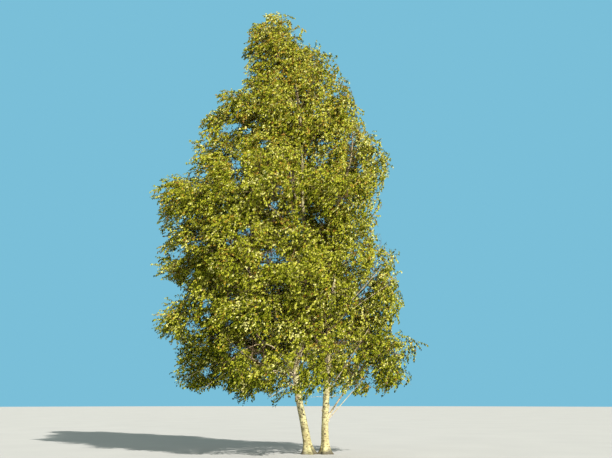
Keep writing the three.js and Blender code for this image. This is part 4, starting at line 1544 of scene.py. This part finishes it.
def twig_piece(group):
    kinds = [(AXES, AXIS_SIDES, LONG_STEPS), (PALE_SHOOTS, PALE_SIDES, LONG_STEPS)]
    kinds += [(level, rule.sides, rule.steps) for level, rule in LEVELS]
    parts = []
    for level, sides, steps in kinds:
        own = picked(level, GROUP_OF[level.mass] == GROUPS.index(group))
        parts.append(tube_mesh(own, sides, steps))
    points, faces = joined([part[:2] for part in parts])
    light = np.arange(len(faces)) < len(parts[0][1]) + len(parts[1][1])
    # Painted light: the pale shoots read as thick limbs, so their bark is drawn pale as if sunlit.
    parts[1][2][:] = PAINTED_LIGHT_RADIUS
    radius = np.concatenate([part[2] for part in parts])
    piece = mesh_piece(
        f"{group}_twigs", points, [faces], [TWIG_BARK, BOUGH_BARK], light, facts=bark_facts(points, radius)
    )
    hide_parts(*nodes_of_group(group))


# Leaves

def leaf_tints(base, twiglet, spray, twig):
    """The tint of each leaf, which is its spray's own or its twig's, with painted light at the crown's top
    and painted shade at its foot and low flanks.
    """
    own_draw = chance(twiglet, spray, KEY.own_tint) < OWN_TINT
    draw = np.where(own_draw, chance(twiglet, spray, KEY.spray_tint), chance(twig, KEY.twig_tint))
    x, _, height = base.T
    # Painted shade: sprays at the crown's low left and right are drawn darker, for the shade that falls
    # there.
    to_left, to_right = (share_in(side * x, PAINTED_SHADE_SIDE_BAND) for side in (-1, 1))
    painted_low_shade = share_in(height, PAINTED_SHADE_LOW_BAND) * (LOW_LEFT_PAINTED_SHADE * to_left + LOW_RIGHT_PAINTED_SHADE * to_right)
    # The lift paints light towards the crown's top and shade towards its foot.
    lift = PAINTED_LIGHT_LIFT * share_in(height, PAINTED_LIGHT_BAND, LIFT_LEAST) - painted_low_shade
    weights = np.array([weight for *_, weight in LEAF_TINTS], float)
    tint = np.searchsorted(np.cumsum(weights) / weights.sum(), draw ** (1 - lift))
    turned_share = TOP_OCHRE * share_in(height, OCHRE_BAND)
    return np.where(chance(twiglet, spray, KEY.ochre) < turned_share, OCHRE, tint)


def leaf_places(twiglets):
    """Where the leaves stand on the twiglets: alternate along each and one at its end."""
    spacing = LEAF_SPACING * (1 - TOP_CLOSER * share_in(twiglets.root[:, 2], TOP_BAND))
    count = np.clip(np.round(lengths_of(twiglets) / spacing).astype(int), LEAST_LEAVES, MOST_LEAVES)
    index, k = dealt_out(count)
    number = np.arange(len(index))
    carrier = picked(twiglets, index)
    place, tangent = spots_on(carrier, (k + 1.0) / count[index])
    beside, across = axes_across(tangent)
    turn = carrier.turn + k * math.pi + either(LEAF_TURN_SPREAD, number, KEY.leaf_turn)
    aside = beside * np.cos(turn)[:, None] + across * np.sin(turn)[:, None]
    aside = np.where((k + 1 == count[index])[:, None], aside * END_ASIDE, aside)
    loose = scattered(LEAF_SPREAD, number, KEY.leaf_way)
    direction = unit(tangent * LEAF_FORWARD + aside * LEAF_ASIDE - UP * LEAF_DROOP + LEAF_BREEZE + loose)
    facing = UP + scattered(LEAF_ROLL, number, KEY.leaf_roll)
    base = place + scattered(LEAF_OFF, number, KEY.leaf_off)
    leaves = SimpleNamespace(
        base=base,
        direction=direction,
        normal=unit(facing - direction * (facing * direction).sum(-1, keepdims=True)),
        length=LEAF_LENGTH * (1 + either(LEAF_LENGTH_SPREAD, number, KEY.leaf_length)),
        tint=leaf_tints(base, index, k // LEAVES_PER_SPRAY, carrier.number),
        group=GROUP_OF[carrier.mass],
    )
    return picked(leaves, ~(in_opening(base, number) | before_limb(base, number)))


LEAVES = leaf_places(LEVELS[-1][0])


def leaf_piece(group):
    own = picked(LEAVES, LEAVES.group == GROUPS.index(group))
    points, faces = leaf_mesh(own.base, own.direction, own.normal, own.length)
    tints = np.repeat(own.tint, len(LEAF_FACES))
    piece = mesh_piece(f"{group}_foliage", points, [faces], LEAF_MATERIALS, tints, smooth=False)
    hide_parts(*nodes_of_group(group))


for each_group in GROUPS:
    twig_piece(each_group)
    leaf_piece(each_group)


# Stage, light and camera

SKY_LIGHT = (0.18, 0.25, 0.21)  # the soft light from all round
SKY_SEEN = (0.195, 0.52, 0.69)  # the plain backdrop
FLOOR_DARK = (0.42, 0.43, 0.49)
FLOOR_LIGHT = (0.45, 0.46, 0.52)
FLOOR_RADIUS = 140.0
FLOOR_SIDES = 120
FLOOR_HEIGHT = -0.002


def floor():
    mesh = bpy.data.meshes.new("floor")
    angles = 2 * math.pi * np.arange(FLOOR_SIDES) / FLOOR_SIDES
    rim = [(FLOOR_RADIUS * math.cos(a), FLOOR_RADIUS * math.sin(a), FLOOR_HEIGHT) for a in angles]
    mesh.from_pydata(rim, [], [tuple(range(FLOOR_SIDES))])
    material, tree, shader = new_material("floor")
    mottle = noise_on(tree, object_place(tree), 0.4)
    feed(tree, shader.inputs["Base Color"], ramp(tree, mottle, [(0.3, FLOOR_DARK), (0.7, FLOOR_LIGHT)]))
    shader.inputs["Roughness"].default_value = 0.95
    mesh.materials.append(material)
    piece = placed("floor", mesh)


def sun(name, energy, angle, elevation, side, colour):
    """Light from far off: elevation above the floor, and how far to the viewer's right."""
    data = bpy.data.lights.new(name, "SUN")
    data.energy = energy
    data.angle = math.radians(angle)
    data.color = colour
    placed(name, data).rotation_euler = (math.pi / 2 - elevation, 0, side)


def lights():
    sun("sun", 7.1, 0.8, SUN_ELEVATION, SUN_SIDE, (1.0, 0.93, 0.74))
    sun("back_fill", 0.8, 30, math.radians(35), math.radians(195), (0.92, 0.95, 0.85))
    sun("low_fill", 0.7, 20, math.radians(10), math.radians(12), (1.0, 0.97, 0.8))


def sky():
    world = bpy.data.worlds.new("studio")
    world.use_nodes = True
    tree = world.node_tree
    light = tree.nodes["Background"]
    light.inputs["Color"].default_value = (*SKY_LIGHT, 1)
    light.inputs["Strength"].default_value = 1.0
    backdrop = new_node(tree, "Background", Color=(*SKY_SEEN, 1), Strength=1.0)
    either_sky = new_node(tree, "MixShader", Fac=new_node(tree, "LightPath").outputs["Is Camera Ray"])
    tree.links.new(light.outputs["Background"], either_sky.inputs[1])
    tree.links.new(backdrop.outputs["Background"], either_sky.inputs[2])
    tree.links.new(either_sky.outputs["Shader"], tree.nodes["World Output"].inputs["Surface"])
    bpy.context.scene.world = world
    bpy.context.scene.view_settings.view_transform = "Standard"


def camera():
    data = bpy.data.cameras.new("camera")
    data.sensor_fit = "HORIZONTAL"
    data.sensor_width = SENSOR_WIDTH
    data.lens = SENSOR_WIDTH * FOCAL_PIXELS / FRAME_WIDTH
    data.clip_end = 400
    made = placed("camera", data)
    made.location = EYE
    made.rotation_euler = (math.radians(90 + PITCH), 0, 0)
    bpy.context.scene.camera = made


floor()
lights()
sky()
camera()
